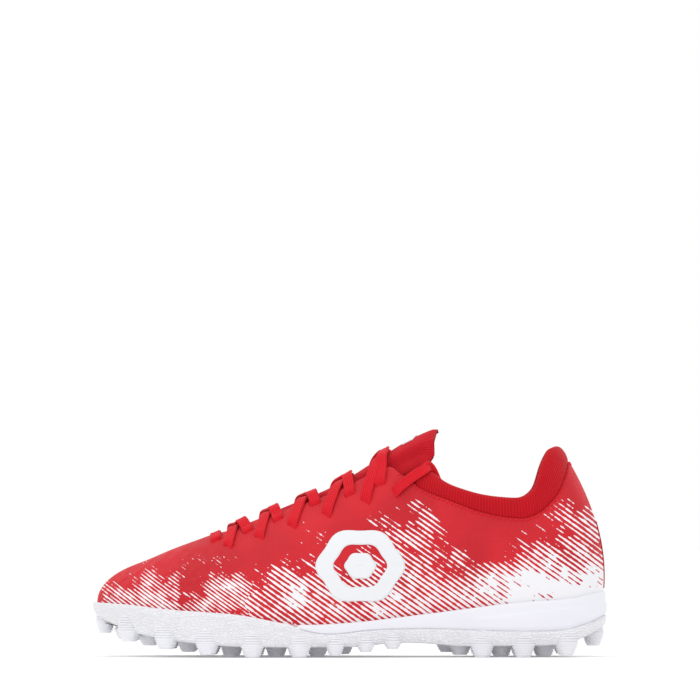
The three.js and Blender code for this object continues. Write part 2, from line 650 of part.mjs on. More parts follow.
// One half of the lace, from the middle of the bottom bar to its end in the collar.
function laceHalf(start, over) {
  const path = [];
  const put = (side, station, v, lift) => path.push(laceMark(side, station, v, lift));
  const between = (side, from, to, t, lift) =>
    put(side, blend(from.station, to.station, t), blend(from.v, to.v, t), lift);
  let from = { side: start };
  HOLES.forEach((hole, k) => {
    const side = k % 2 === 0 ? start : -start;
    const [high, low] = [hole.high, hole.low].map((at) => twinOf(side, placeAt(LATERAL, at)));
    const middle = { station: k > 0 ? (from.station + high.station) / 2 : high.station, v: 1 };
    const liftFrom = (hole, t) => strandLift(middle.station, hole.d * (1 - t), k > 0 && k % 2 === over);
    if (k > 0) for (const t of STRAND) between(from.side, from, middle, t, liftFrom(from, t));
    put(side, middle.station, 1, liftFrom(high, 1) + RIDGE_SLACK);
    for (const t of [...STRAND].reverse()) between(side, high, middle, t, liftFrom(high, t));
    put(side, high.station, high.v, -0.8);
    for (const t of [0.25, 0.5, 0.75]) between(side, high, low, t, LACE_UNDER);
    put(side, low.station, low.v, -0.8);
    from = low;
  });
  const { side } = from;
  const brim = placeAt(side, [45, 104.5]);
  for (const t of [0.08, 0.3, 0.6, 0.9]) between(side, from, brim, t, LACE_OVER);
  const above = placeAt(side, [45.5, 107.6]);
  put(side, above.station, above.v, -1);
  put(side, above.station, above.v, -(COLLAR_IN - 1));
  const down = [[46.5, 104], [47.8, 97.5], [49, 91]].map((at) => placeAt(side, at));
  down.forEach((at, k) => put(side, at.station, at.v, -(COLLAR_IN + 1.6 + 0.7 * k)));
  return path;
}

const lacePath = () => [...laceHalf(LATERAL, 0).reverse(), ...laceHalf(MEDIAL, 1).slice(1)];

// A flat ribbon along a path of marks, its broad face turned outwards.
function ribbon(path, width, thick) {
  const points = [];
  const at = (i) => path[Math.min(Math.max(i, 0), path.length - 1)].point;
  path.forEach(({ point, out }, i) => {
    const chord = at(i + 2).clone().sub(at(i - 2));
    const along = at(i + 1).clone().sub(at(i - 1)).normalize();
    const w = chord.cross(out).normalize();
    w.addScaledVector(along, -w.dot(along)).normalize();
    const n = w.clone().cross(along);
    for (const [a, b] of [[-1, -1], [1, -1], [1, 1], [-1, 1]])
      points.push(point.clone().addScaledVector(w, (a * width) / 2).addScaledVector(n, (b * thick) / 2));
  });
  const triangles = [];
  for (let i = 0; i + 1 < path.length; i++)
    for (let k = 0; k < 4; k++) {
      const [a, b] = [4 * i + k, 4 * i + ((k + 1) % 4)];
      triangles.push([a, b + 4, b], [a, a + 4, b + 4]);
    }
  const end = 4 * (path.length - 1);
  triangles.push([0, 1, 2], [0, 2, 3], [end, end + 2, end + 1], [end, end + 3, end + 2]);
  return toSolid(geometryOf(points, triangles));
}

const laceRibbon = (margin) => ribbon(lacePath(), LACE_WIDTH + 2 * margin, LACE_THICK + 2 * margin);

// The stiff tip at each end of the lace, hanging inside the collar.
function laceTip(path) {
  const [before, end] = path.slice(-2).map(({ point }) => point);
  const direction = end.clone().sub(before).normalize();
  const tip = new THREE.CylinderGeometry(1.5, 1.3, TIP_LENGTH, 10);
  tip.rotateX(Math.PI / 2).translate(0, 0, TIP_LENGTH / 2 + GAP);
  const turn = new THREE.Quaternion().setFromUnitVectors(new THREE.Vector3(0, 0, 1), direction);
  return toSolid(tip.applyQuaternion(turn).translate(end.x, end.y, end.z));
}

// ---- applied pieces ----

const EMBLEM = { x: 6, z: 51, radius: 25, points: 24 };
const APPLIED = -0.1; // the near face of an applied piece, above the surface
const APPLIED_OUT = -1;

// A plain six-sided panel with rounded corners.
function emblem(side) {
  const rows = [1, 0.8, 0.55, 0.3, 0].map((share) =>
    Array.from({ length: EMBLEM.points }, (_, i) => {
      const angle = side * ((2 * Math.PI * i) / EMBLEM.points);
      const reach = EMBLEM.radius * share * (1 - 0.07 * (1 - Math.cos(6 * angle)));
      return placeAt(side, [EMBLEM.x + reach * Math.cos(angle), EMBLEM.z + reach * Math.sin(angle) * 0.86]);
    }),
  );
  return toSolid(layer(rows, APPLIED_OUT, APPLIED, true));
}

function heelStrip() {
  const bottom = (side, station) => vAtHeight(side, station, 38.5);
  const top = (side, station) => vAtHeight(side, station, 76);
  return toSolid(layer(rowsBetween(6, heelWrap(0.16, 1), bottom, top), APPLIED_OUT, APPLIED));
}

// ---- assembly ----

const BACKER_HOLE = 4.5; // radius
const SHELL_HOLE = 3.7;

// Round plugs along the surface's direction, one at each lace hole of one side.
function holePlugs(side, radius) {
  const plugs = HOLES.flatMap(({ high, low }) => [high, low]).map((at) => {
    const { station, v } = twinOf(side, placeAt(LATERAL, at));
    const { point, out } = laceMark(side, station, v, -2.3);
    const plug = new THREE.CylinderGeometry(radius, radius, 6, 8);
    plug.applyQuaternion(new THREE.Quaternion().setFromUnitVectors(new THREE.Vector3(0, 1, 0), out));
    return toSolid(plug.translate(point.x, point.y, point.z));
  });
  return joined(plugs);
}

// Whatever is left of a solid in one piece, without crumbs.
const largest = (solid) => solid.decompose().reduce((a, b) => (a.volume() > b.volume() ? a : b));

// A cut solid, welded again until no crumb hangs on it by a point.
function tidied(solid) {
  const WELDS = 4;
  let kept = largest(solid);
  for (let k = 0; k < WELDS; k++) kept = largest(toSolid(toGeometry(kept)));
  return kept;
}

function pieces() {
  const margin = 0.25;
  const path = lacePath();
  const lace = laceRibbon(0);
  const laceRoom = laceRibbon(margin + 0.05).add(lace);
  const shellRoom = upperShell(margin).add(upperShell());
  const liningRoom = upperLining(margin);
  const cut = (solid, ...rooms) => tidied(rooms.reduce((left, room) => left.subtract(room), solid));
  const room = uppersRoom();
  const ground = groundContact();
  const tongue = cut(tongueKnit(), laceRoom, shellRoom, liningRoom, foldRoom());
  return {
    outsole: cut(ground, midsoleRoom(-GAP / 2), room),
    midsole: cut(soleBody().intersect(midsoleRoom(GAP / 2)), room),
    insole_board: board(),
    sockliner_foam: sockliner(0, 3.2, 7.6),
    sockliner_cover: sockliner(3.5, 4.3, 7.6),
    upper_shell: cut(upperShell(), holePlugs(LATERAL, SHELL_HOLE), holePlugs(MEDIAL, SHELL_HOLE), laceRoom),
    upper_lining: cut(upperLining(), shellRoom, laceRoom),
    toe_puff: cut(toePuff(), shellRoom, liningRoom),
    heel_counter: heelCounter(),
    eyestay_backer_lateral: cut(eyestayBacker(LATERAL), holePlugs(LATERAL, BACKER_HOLE), laceRoom),
    eyestay_backer_medial: cut(eyestayBacker(MEDIAL), holePlugs(MEDIAL, BACKER_HOLE), laceRoom),
    collar_knit: cut(collarKnit(), shellRoom, liningRoom, laceRoom),
    collar_foam_lateral: collarFoam(LATERAL, GAP),
    collar_foam_medial: collarFoam(MEDIAL, GAP),
    tongue_knit: tongue,
    tongue_tab: cut(tongueTab(), shellRoom, liningRoom, laceRoom),
    tongue_label: tongueLabel(),
    lace,
    lace_tip_lateral: laceTip([...path].reverse()),
    lace_tip_medial: laceTip(path),
    side_emblem_lateral: cut(emblem(LATERAL), shellRoom, laceRoom),
    side_emblem_medial: cut(emblem(MEDIAL), shellRoom, laceRoom),
    heel_strip: cut(heelStrip(), upperShell(0.1)),
  };
}

const WHITE = "#f3f3f6";
const RED = "#d42c3a";
const DEEP_RED = "#cd1428";
const COLOURS = {
  outsole: WHITE,
  midsole: WHITE,
  insole_board: "#d8cdb8",
  sockliner_foam: "#3a3a3d",
  sockliner_cover: RED,
  upper_shell: RED,
  upper_lining: "#b01c2a",
  toe_puff: "#d9d4c8",
  heel_counter: "#d9d4c8",
  eyestay_backer_lateral: "#c9c2b6",
  eyestay_backer_medial: "#c9c2b6",
  collar_knit: DEEP_RED,
  collar_foam_lateral: "#e8dfc6",
  collar_foam_medial: "#e8dfc6",
  tongue_knit: DEEP_RED,
  tongue_tab: DEEP_RED,
  tongue_label: WHITE,
  lace: "#e61c30",
  lace_tip_lateral: "#e61c30",
  lace_tip_medial: "#e61c30",
  side_emblem_lateral: WHITE,
  side_emblem_medial: WHITE,
  heel_strip: DEEP_RED,
};

function build() {
  const group = new THREE.Group();
  for (const [name, solid] of Object.entries(pieces())) {
    const mesh = new THREE.Mesh(toGeometry(solid), new THREE.MeshStandardMaterial({ color: COLOURS[name] }));
    mesh.name = name;
    group.add(mesh);
  }
  return group;
}

const group = build();

export default group;
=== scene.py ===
import math

import bmesh
import bpy
import numpy as np
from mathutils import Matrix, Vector


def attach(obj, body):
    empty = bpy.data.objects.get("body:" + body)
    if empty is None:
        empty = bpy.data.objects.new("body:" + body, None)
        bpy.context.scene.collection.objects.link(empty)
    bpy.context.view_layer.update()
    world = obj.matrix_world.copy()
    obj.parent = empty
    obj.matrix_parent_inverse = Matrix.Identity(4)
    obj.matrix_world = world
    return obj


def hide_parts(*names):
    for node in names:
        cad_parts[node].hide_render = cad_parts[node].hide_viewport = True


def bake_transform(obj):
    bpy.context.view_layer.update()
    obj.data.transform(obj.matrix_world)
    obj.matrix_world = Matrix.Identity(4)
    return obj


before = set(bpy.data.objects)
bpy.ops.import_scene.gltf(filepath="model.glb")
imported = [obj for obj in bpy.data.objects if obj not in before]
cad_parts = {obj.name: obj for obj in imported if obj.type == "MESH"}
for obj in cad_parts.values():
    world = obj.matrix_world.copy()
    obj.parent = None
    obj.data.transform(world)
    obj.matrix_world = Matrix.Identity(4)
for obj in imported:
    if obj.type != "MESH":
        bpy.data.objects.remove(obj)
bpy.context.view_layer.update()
MM = 0.001

# ---------------------------------------------------------------- the last

TOE = 13.0  # the last station; on the medial side a rib's ring place is TURN - station
TURN = 2 * TOE
RIDGE = 6  # from this station to the toe the two sides meet on the ridge
EDGE_INSET = 4.2

# Heel to toe: x, lateral y, medial y and height of the footbed's edge; x, half-width, z and shift of the
# rib's upper end; how far the rib rises and bulges from the edge, reaches out of the rim and falls there;
# the ridge's slope.
LAST = np.array([
    [144, 0, 0, 20.5, 117, 0, 120, 0, 0.29, 8, 1.08, 0.36, 0],
    [138.5, -19.5, 19.5, 20.3, 114.5, 12, 120, 0, 0.29, 7, 1.0, 0.36, 0],
    [124, -31.5, 30.5, 19.7, 106, 20.5, 119.5, 0, 0.29, 5, 0.9, 0.34, 0],
    [100, -36.5, 33.5, 18.5, 92, 26, 119, 0, 0.29, 4, 0.8, 0.33, 0],
    [74, -37, 31.5, 17, 76, 27, 119.5, 0, 0.29, 3.5, 0.7, 0.3, 0],
    [50, -37.5, 29, 15.8, 61, 20, 122.5, 0, 0.29, 3, 0.6, 0.15, 0.2],
    [28, -39.5, 29.5, 15, 50, 0, 129, 0, 0.3, 2.5, 0.5, 0, 0.47],
    [6, -43.5, 34, 14.3, 20, 0, 115.3, 0, 0.3, 2, 0.46, 0, 0.55],
    [-18, -48, 41.5, 13.8, -8, 0, 98.3, 0.5, 0.33, 2, 0.48, 0, 0.47],
    [-44, -51, 48.5, 13.5, -40, 0, 84.6, 1.5, 0.36, 2, 0.52, 0, 0.43],
    [-72, -49, 51, 13.8, -74, 0, 70, 3, 0.4, 2, 0.55, 0, 0.4],
    [-99, -41, 48, 15.3, -98, 0, 61, 5, 0.45, 3, 0.58, 0, 0.4],
    [-124, -25.5, 37.5, 18, -111, 0, 55.5, 6.5, 0.5, 5, 0.68, 0, 0.37],
    [-144, 9, 9, 21.5, -117, 0, 53, 7, 0.5, 8, 0.76, 0, 0.33],
], float)

# Heights along the shoe, as (x, z).
SOLE_TOP = [
    (-144, 30.4), (-122, 29), (-103, 26.8), (-64, 24), (-50, 21.7), (-31, 18.5), (1, 19.5), (43, 24.3),
    (91, 30.3), (124, 33), (144, 37),
]
PARTING = [
    (-30, 16.8), (-20, 13.9), (-8, 13.1), (12, 15.2), (43, 16), (91, 14.7), (120, 15.5), (136, 19.7),
    (144, 23.5),
]
SOLE_BOTTOM = [
    (-144, 22), (-133, 17.5), (-122, 13.5), (-102, 9.8), (-83, 7.4), (-60, 6), (5, 6), (25, 8), (42, 7.8),
    (60, 6.3), (80, 6.2), (118, 7), (131, 10), (144, 16),
]
LUG_BOTTOM = [
    (-144, 15), (-133, 11.8), (-122, 8.5), (-102, 4.6), (-83, 2), (-66, 0), (-28, 0), (-8, 1), (8, 3),
    (24, 4.6), (45, 4.6), (60, 1.5), (74, 0), (100, 0), (118, 0.8), (131, 3.6), (144, 9.5),
]
SHELL_TOP = [
    (16, 103), (20, 104.6), (26, 104), (33, 99.5), (41, 93.5), (56, 87.4), (75, 80.6), (96, 77.4),
    (106, 80.5), (113, 86.5), (118, 93), (122, 103), (123.5, 109.6),
]
COLLAR_TOP = [
    (40, 107), (47, 103.4), (52, 99.3), (59, 95.9), (74, 91.4), (90, 89.6), (97, 90.2), (101.5, 93),
    (104.3, 97), (106, 102), (108, 108), (111, 114.2), (113.5, 117.6), (117, 119.3),
]
HEEL_GROOVE = [(60, 20.5), (76.8, 22.3), (95, 24.4), (115, 26.8), (135, 29.4), (143, 30.4)]


def profile(points, x):
    """A cubic Hermite curve through (x, value) points, level beyond its ends."""
    px, py = np.array(points, float).T
    x = np.clip(x, px[0], px[-1])
    i = np.clip(np.searchsorted(px, x, side="right") - 1, 0, len(px) - 2)
    k = np.arange(len(px))
    before, after = np.maximum(k - 1, 0), np.minimum(k + 1, len(px) - 1)
    slope = (py[after] - py[before]) / (px[after] - px[before])
    span = px[i + 1] - px[i]
    t = (x - px[i]) / span
    rest = 1 - t
    first = rest**2 * (py[i] * (1 + 2 * t) + slope[i] * span * t)
    return first + t**2 * (py[i + 1] * (1 + 2 * rest) - slope[i + 1] * span * rest)


def ring(lateral, medial=None):
    """One column of the last round the whole shoe: heel, lateral side, toe, medial side."""
    other = lateral if medial is None else medial
    return np.concatenate([LAST[:, lateral], LAST[1:-1, other][::-1]])


EDGE_X, EDGE_Y, BED_Z = ring(0), ring(1, 2), ring(3)
RIM_X, RIM_Z, RIM_SHIFT = ring(4), ring(6), ring(7)
RIM_HALF = np.concatenate([-LAST[:, 5], LAST[1:-1, 5][::-1]])
SHAPE = [ring(8 + k) for k in range(5)]


def span_curve(a, b, c, d, t):
    """The stretch from b to c of a Catmull-Rom curve through four values."""
    return 0.5 * (2 * b + (c - a) * t + (2 * a - 5 * b + 4 * c - d) * t**2 + (-a + 3 * b - 3 * c + d) * t**3)


def catmull_rom(values, at):
    """A closed Catmull-Rom curve through evenly numbered values."""
    i = np.floor(at).astype(int)
    return span_curve(*(values[(i + k) % len(values)] for k in (-1, 0, 1, 2)), at - i)


def unit(vectors):
    return vectors / np.maximum(np.linalg.norm(vectors, axis=-1, keepdims=True), 1e-9)


def run_along(points):
    """The distance from the first point to each point of a path."""
    return np.concatenate([[0], np.cumsum(np.linalg.norm(np.diff(points, axis=0), axis=1))])


def chords(points, reach=1):
    """At each point of a path, the vector between its neighbours this many points before and after."""
    i = np.arange(len(points))
    return points[np.minimum(i + reach, len(points) - 1)] - points[np.maximum(i - reach, 0)]


def outline(at, outset, z):
    """Points of the sole's outline in plan, moved outwards by outset, at height z."""
    at = np.asarray(at, float)
    step = 0.01
    tx = catmull_rom(EDGE_X, at + step) - catmull_rom(EDGE_X, at - step)
    ty = catmull_rom(EDGE_Y, at + step) - catmull_rom(EDGE_Y, at - step)
    length = np.hypot(tx, ty)
    x = catmull_rom(EDGE_X, at) - outset * ty / length
    y = catmull_rom(EDGE_Y, at) + outset * tx / length
    return np.stack(np.broadcast_arrays(x, y, np.asarray(z, float)), -1)


def station_of(at):
    at = np.mod(at, TURN)
    return np.where(at > TOE, TURN - at, at)


def last_point(at, v):
    """Points of the last: v runs from 0 at the footbed's edge to 1 at the rim."""
    at, v = np.broadcast_arrays(np.asarray(at, float), np.asarray(v, float))
    bed = catmull_rom(BED_Z, at)
    half = catmull_rom(RIM_HALF, at)
    lateral = np.mod(at, TURN) <= TOE
    away = np.where(lateral, np.minimum(half, 0), np.maximum(half, 0))
    rim_y = np.where(station_of(at) >= RIDGE, 0, away) + catmull_rom(RIM_SHIFT, at)
    rim = np.stack([catmull_rom(RIM_X, at), rim_y, catmull_rom(RIM_Z, at)], -1)
    rise, bulge, reach, fall, slope = (catmull_rom(column, at) for column in SHAPE)
    base = outline(at, -EDGE_INSET, bed)
    height = rim[..., 2] - bed
    lower = outline(at, bulge - EDGE_INSET, bed + rise * height)
    upper = rim + (base - rim) * reach[..., None]
    upper[..., 2] = rim[..., 2] - fall * height + slope * (upper[..., 0] - rim[..., 0])
    v = v[..., None]
    w = 1 - v
    return base * w**3 + 3 * lower * w**2 * v + 3 * upper * w * v**2 + rim * v**3


def last_normal(at, v):
    """Outward directions of the last; on the ridge, where the two sides meet, the mean of both."""
    step = 0.004
    at, v = np.broadcast_arrays(np.asarray(at, float), np.asarray(v, float))

    def one_side(at):
        along = last_point(at + step, v) - last_point(at - step, v)
        up = last_point(at, np.minimum(v + step, 1)) - last_point(at, np.maximum(v - step, 0))
        return unit(np.cross(up, along))

    here = one_side(at)
    on_ridge = (v > 0.985) & (station_of(at) >= RIDGE)
    return np.where(on_ridge[..., None], unit(here + one_side(TURN - at)), here)


def on_last(at, v, lift):
    return last_point(at, v) + last_normal(at, v) * np.asarray(lift, float)[..., None]


def v_at_height(at, height):
    """The v where each rib reaches a height: a number, or a list of (x, z)."""
    at = np.asarray(at, float)
    low, high = np.zeros_like(at), np.ones_like(at)
    for _ in range(24):
        middle = (low + high) / 2
        p = last_point(at, middle)
        target = profile(height, p[..., 0]) if isinstance(height, list) else height
        under = p[..., 2] < target
        low, high = np.where(under, middle, low), np.where(under, high, middle)
    return (low + high) / 2


def v_from_rim(at, distance):
    """The v at a distance from the rim, measured along each rib."""
    shape = np.broadcast(np.asarray(at, float), np.asarray(distance, float)).shape
    at = np.broadcast_to(at, shape).ravel()
    distance = np.broadcast_to(distance, shape).ravel()
    vs = np.linspace(1, 0, 160)
    p = last_point(at[:, None], vs[None])
    return np.array([np.interp(d, run_along(rib), vs) for d, rib in zip(distance, p)]).reshape(shape)


def smoothstep(x, low, high):
    t = np.clip((x - low) / (high - low), 0, 1)
    return t * t * (3 - 2 * t)


def raised(points, lift):
    return [(x, z + lift) for x, z in points]


# ---------------------------------------------------------------- meshes


WELD = 0.02


def mesh_piece(name, points, faces, material, body="shoe", replaces=(), uv=None):
    """A smooth piece of the shoe from points in millimetres; uv is in metres, one pair per point."""
    mesh = bpy.data.meshes.new(name)
    mesh.from_pydata((np.asarray(points) * MM).tolist(), [], [list(map(int, f)) for f in faces])
    if uv is not None:
        corner = np.empty(len(mesh.loops), int)
        mesh.loops.foreach_get("vertex_index", corner)
        layer = mesh.uv_layers.new(name="cloth")
        layer.data.foreach_set("uv", np.asarray(uv, float)[corner].ravel())
    mesh.validate()
    piece = bpy.data.objects.new(name, mesh)
    bpy.context.collection.objects.link(piece)
    mesh.materials.append(material)
    mesh.shade_smooth()
    if body:
        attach(piece, body)
    if replaces:
        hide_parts(*replaces)
    return piece


def grid_faces(rows, columns, wrap_columns=False, flip=False):
    """Quads over a rows x columns grid of points."""
    across = columns if wrap_columns else columns - 1
    r, c = np.meshgrid(np.arange(rows - 1), np.arange(across), indexing="ij")
    this, after = r * columns, (r + 1) * columns
    ahead = (c + 1) % columns
    quads = np.stack([this + c, this + ahead, after + ahead, after + c], -1).reshape(-1, 4)
    return quads[:, ::-1] if flip else quads


def apply_modifier(piece, kind, **settings):
    modifier = piece.modifiers.new(kind, kind)
    for key, value in settings.items():
        setattr(modifier, key, value)
    with bpy.context.temp_override(object=piece, active_object=piece):
        bpy.ops.object.modifier_apply(modifier=modifier.name)


def weld(piece):
    """Joins points that meet, such as those of the two sides on the ridge."""
    bm = bmesh.new()
    bm.from_mesh(piece.data)
    bmesh.ops.remove_doubles(bm, verts=bm.verts, dist=WELD * MM)
    bmesh.ops.dissolve_degenerate(bm, edges=bm.edges, dist=WELD * MM)
    bm.to_mesh(piece.data)
    bm.free()


def cloth_uv(u, v):
    """One pair in metres per point, from distances in millimetres along and across a piece."""
    return np.stack(np.broadcast_arrays(u, v), -1).reshape(-1, 2) * MM


def skin(name, at, v, lift, thick, material, closed=False, **more):
    """A sheet over the last: grids of ring places and v, lifted off it, thickened inwards."""
    at, v = np.broadcast_arrays(at, v)
    p = on_last(at, v, np.broadcast_to(lift, v.shape))
    faces = grid_faces(*at.shape, wrap_columns=closed, flip=True)
    uv = np.stack([girth(at), p[..., 2] * MM], -1).reshape(-1, 2)
    piece = mesh_piece(name, p.reshape(-1, 3), faces, material, uv=uv, **more)
    weld(piece)
    apply_modifier(piece, "SOLIDIFY", thickness=thick * MM, offset=-1, use_even_offset=False)
    piece.data.shade_smooth()
    return piece


def loft(name, sections, material, **more):
    """A closed solid through closed sections, (count, points, 3), capped at both ends."""
    count, size = sections.shape[:2]
    faces = [tuple(f) for f in grid_faces(count, size, wrap_columns=True)]
    faces += [tuple(range(size))[::-1], tuple(range((count - 1) * size, count * size))]
    return mesh_piece(name, sections.reshape(-1, 3), faces, material, **more)


GIRTH_STATIONS = np.linspace(0, TOE, 400)
GIRTH_RUN = run_along(last_point(GIRTH_STATIONS, 0.25))


def girth(at):
    """Metres round the shoe from the middle of the heel, the same on both sides."""
    return np.interp(station_of(at), GIRTH_STATIONS, GIRTH_RUN) * MM


# ---------------------------------------------------------------- materials


class Graph:
    """A material's node graph, built a value at a time."""

    def __init__(self, name, **surface):
        self.material = bpy.data.materials.new(name)
        self.material.use_nodes = True
        self.tree = self.material.node_tree
        self.surface = self.tree.nodes["Principled BSDF"]
        self.set(self.surface, surface)

    def set(self, node, inputs):
        for key, value in inputs.items():
            socket = node.inputs[key if isinstance(key, int) else key.replace("_", " ")]
            if isinstance(value, bpy.types.NodeSocket):
                self.tree.links.new(value, socket)
            else:
                socket.default_value = (*value, 1) if socket.type == "RGBA" and len(value) == 3 else value

    def node(self, kind, inputs=None, out=0, **settings):
        node = self.tree.nodes.new("ShaderNode" + kind)
        for key, value in settings.items():
            setattr(node, key, value)
        self.set(node, inputs or {})
        return node.outputs[out]

    def math(self, operation, a, b=0.0, c=0.0):
        return self.node("Math", {0: a, 1: b, 2: c}, operation=operation)

    def place(self, scale=(1, 1, 1), turn=0.0, uv=False):
        """Object or cloth coordinates in metres, turned about their third axis and scaled."""
        source = self.node("UVMap", uv_map="cloth") if uv else self.node("TexCoord", out="Object")
        turned = self.node("Mapping", {"Vector": source, "Rotation": (0, 0, turn)})
        return self.node("Mapping", {"Vector": turned, "Scale": scale})

    def noise(self, vector, scale=1.0, detail=2.0, rough=0.5):
        return self.node("TexNoise", {"Vector": vector, "Scale": scale, "Detail": detail, "Roughness": rough})

    def ramp(self, value, low, high, to_low=0.0, to_high=1.0):
        inputs = {"Value": value, "From Min": low, "From Max": high, "To Min": to_low, "To Max": to_high}
        return self.node("MapRange", inputs, interpolation_type="SMOOTHSTEP")

    def mix(self, factor, a, b):
        node = self.tree.nodes.new("ShaderNodeMix")
        node.data_type = "RGBA"
        self.set(node, {0: factor, 6: a, 7: b})
        return node.outputs[2]

    def bump(self, height, distance, strength=1.0, normal=None):
        inputs = {"Height": height, "Distance": distance, "Strength": strength}
        if normal is not None:
            inputs["Normal"] = normal
        return self.node("Bump", inputs)

    def wave(self, coordinate, pitch, phase=0.0):
        """0 to 1 and back once a pitch along a coordinate in metres."""
        turns = self.math("MULTIPLY_ADD", coordinate, 2 * math.pi / pitch, phase)
        return self.math("MULTIPLY_ADD", self.math("SINE", turns), 0.5, 0.5)

    def split(self, vector):
        node = self.tree.nodes.new("ShaderNodeSeparateXYZ")
        self.tree.links.new(vector, node.inputs[0])
        return node.outputs[0], node.outputs[1], node.outputs[2]

    def finish(self, **surface):
        self.set(self.surface, surface)
        return self.material


SHELL_RED = (0.64, 0.013, 0.024)
SHELL_SHADE = (0.52, 0.008, 0.017)
KNIT_RED = (0.6, 0.003, 0.012)
# Painted shade for the knit's troughs; it also darkens the knit's random patches
KNIT_SHADE = (0.4, 0.0015, 0.006)
LACE_RED = (0.78, 0.003, 0.016)
# Painted shade for the lace's troughs
LACE_SHADE = (0.5, 0.003, 0.01)
PRINT_WHITE = (0.84, 0.84, 0.87)
SOLE_WHITE = (0.84, 0.84, 0.88)
STREAK_TURN = math.radians(35)
STREAK_PITCH_TOE = 0.00182
STREAK_PITCH = 0.00245
STREAK_CHANGE = -0.042  # ahead of this x the streaks stand at the toe's pitch


def printed_textile():
    """The shell: woven red textile with slanting white streaks, wider where the point value white is high."""
    g = Graph("printed_textile", Roughness=0.6, Specular_IOR_Level=0.3)
    x, _, z = g.split(g.place())
    slant = g.math("MULTIPLY_ADD", x, math.sin(STREAK_TURN), g.math("MULTIPLY", z, math.cos(STREAK_TURN)))
    run = g.math("MULTIPLY_ADD", z, -math.sin(STREAK_TURN), g.math("MULTIPLY", x, math.cos(STREAK_TURN)))
    wander = g.math("MULTIPLY_ADD", g.noise(g.place(), 60, 2), 0.0006, slant)
    wide = g.wave(wander, STREAK_PITCH)
    narrow = g.wave(wander, STREAK_PITCH_TOE)
    edge = g.math("MULTIPLY_ADD", g.noise(g.place(), 90, 3), 0.03, x)
    rear = g.math("GREATER_THAN", edge, STREAK_CHANGE)
    stripe = g.math("MULTIPLY_ADD", rear, g.math("SUBTRACT", wide, narrow), narrow)
    lane = g.math("FLOOR", g.math("DIVIDE", wander, STREAK_PITCH))
    in_lane = {"X": g.math("MULTIPLY", run, 150), "Y": g.math("MULTIPLY", lane, 7.3)}
    broken = g.noise(g.node("CombineXYZ", in_lane), 1, 3, 0.7)
    in_patch = {"X": g.math("MULTIPLY", run, 55), "Y": g.math("MULTIPLY", slant, 75), "Z": 1.7}
    patch = g.noise(g.node("CombineXYZ", in_patch), 1, 4, 0.62)
    white = g.node("Attribute", out="Fac", attribute_name="white")
    level = g.math("ADD", white, g.math("MULTIPLY_ADD", broken, 2.2, -1.1))
    level = g.math("ADD", level, g.math("MULTIPLY_ADD", patch, 2.6, -1.3))
    ink = g.ramp(g.math("SUBTRACT", level, g.math("SUBTRACT", 1.0, stripe)), -0.06, 0.06)
    flat = g.place(uv=True)
    u, v, _ = g.split(flat)
    weave = g.math("MULTIPLY", g.wave(u, 0.0009), g.wave(v, 0.0009))
    tone = g.mix(g.ramp(g.noise(flat, 30, 3), 0.3, 0.7), SHELL_SHADE, SHELL_RED)
    tone = g.mix(g.math("MULTIPLY", weave, 0.3), tone, SHELL_SHADE)
    scales = g.node("Attribute", out="Fac", attribute_name="scales")
    cells = g.node("TexVoronoi", {"Vector": g.place(uv=True, turn=0.6, scale=(150, 260, 1)), "Scale": 1.0},
                   feature="SMOOTH_F1", voronoi_dimensions="2D")
    relief = g.bump(g.math("MULTIPLY", cells, scales), 0.0012, 1.0)
    fine = g.bump(weave, 0.00014, 0.6, relief)
    fine = g.bump(ink, 0.0001, 0.6, fine)
    colour = g.mix(ink, tone, PRINT_WHITE)
    return g.finish(Base_Color=colour, Normal=fine, Roughness=g.ramp(ink, 0, 1, 0.62, 0.42))


def knit(name, light, dark, rib_pitch, course_pitch, depth):
    """Knitted ribs that run up the cloth, with a chain of stitches along each."""
    g = Graph(name, Roughness=0.85, Specular_IOR_Level=0.2, Sheen_Weight=0.06)
    u, v, _ = g.split(g.place(uv=True))
    rib = g.wave(u, rib_pitch)
    slant = g.math("MULTIPLY_ADD", g.math("ABSOLUTE", g.math("SUBTRACT", rib, 0.5)), course_pitch * 0.8, v)
    stitch = g.wave(slant, course_pitch)
    relief = g.math("ADD", rib, g.math("MULTIPLY", stitch, 0.4))
    worn = g.noise(g.place(), 90, 3)
    # Painted shade and highlight: the colour goes to dark down in the troughs between ribs and stitches and
    # to light on their crests.
    tone = g.mix(g.ramp(relief, 0.1, 1.2), dark, light)
    tone = g.mix(g.ramp(worn, 0.35, 0.75, 0.0, 0.25), tone, dark)
    return g.finish(Base_Color=tone, Normal=g.bump(relief, depth, 0.8))


def woven(name, light, dark, pitch, depth, rough=0.8):
    """A plain weave over whatever way a surface faces."""
    g = Graph(name, Roughness=rough, Sheen_Weight=0.15)
    x, y, z = g.split(g.place())
    first = g.wave(g.math("ADD", x, y), pitch)
    second = g.wave(g.math("SUBTRACT", z, g.math("MULTIPLY", y, 0.6)), pitch)
    weave = g.math("MULTIPLY", first, second)
    # Painted shade and highlight: darker in the weave's hollows, lighter where the threads cross on top.
    tone = g.mix(weave, dark, light)
    tone = g.mix(g.ramp(g.noise(g.place(), 60, 3), 0.3, 0.7, 0, 0.3), tone, dark)
    return g.finish(Base_Color=tone, Normal=g.bump(weave, depth, 0.7))


def moulded(name, colour, rough, grain, grain_depth, net=False):
    """Moulded rubber or foam: fine grain, faint scuffs, and where asked a net of shallow scales."""
    g = Graph(name, Roughness=rough)
    fine = g.noise(g.place(), grain, 3)
    scuff = g.noise(g.place(scale=(14, 14, 40)), 1, 4)
    dusk = tuple(c * 0.9 for c in colour)
    height = g.bump(fine, grain_depth, 0.5)
    if net:
        cells = g.node("TexVoronoi", {"Vector": g.place(scale=(430, 430, 700)), "Scale": 1.0},
                       feature="DISTANCE_TO_EDGE")
        height = g.bump(g.ramp(cells, 0.0, 0.16), 0.00035, 0.8, height)
    return g.finish(Base_Color=g.mix(g.ramp(scuff, 0.42, 0.8, 0, 0.5), colour, dusk), Normal=height,
                    Roughness=g.ramp(scuff, 0.3, 0.8, rough, rough + 0.15))


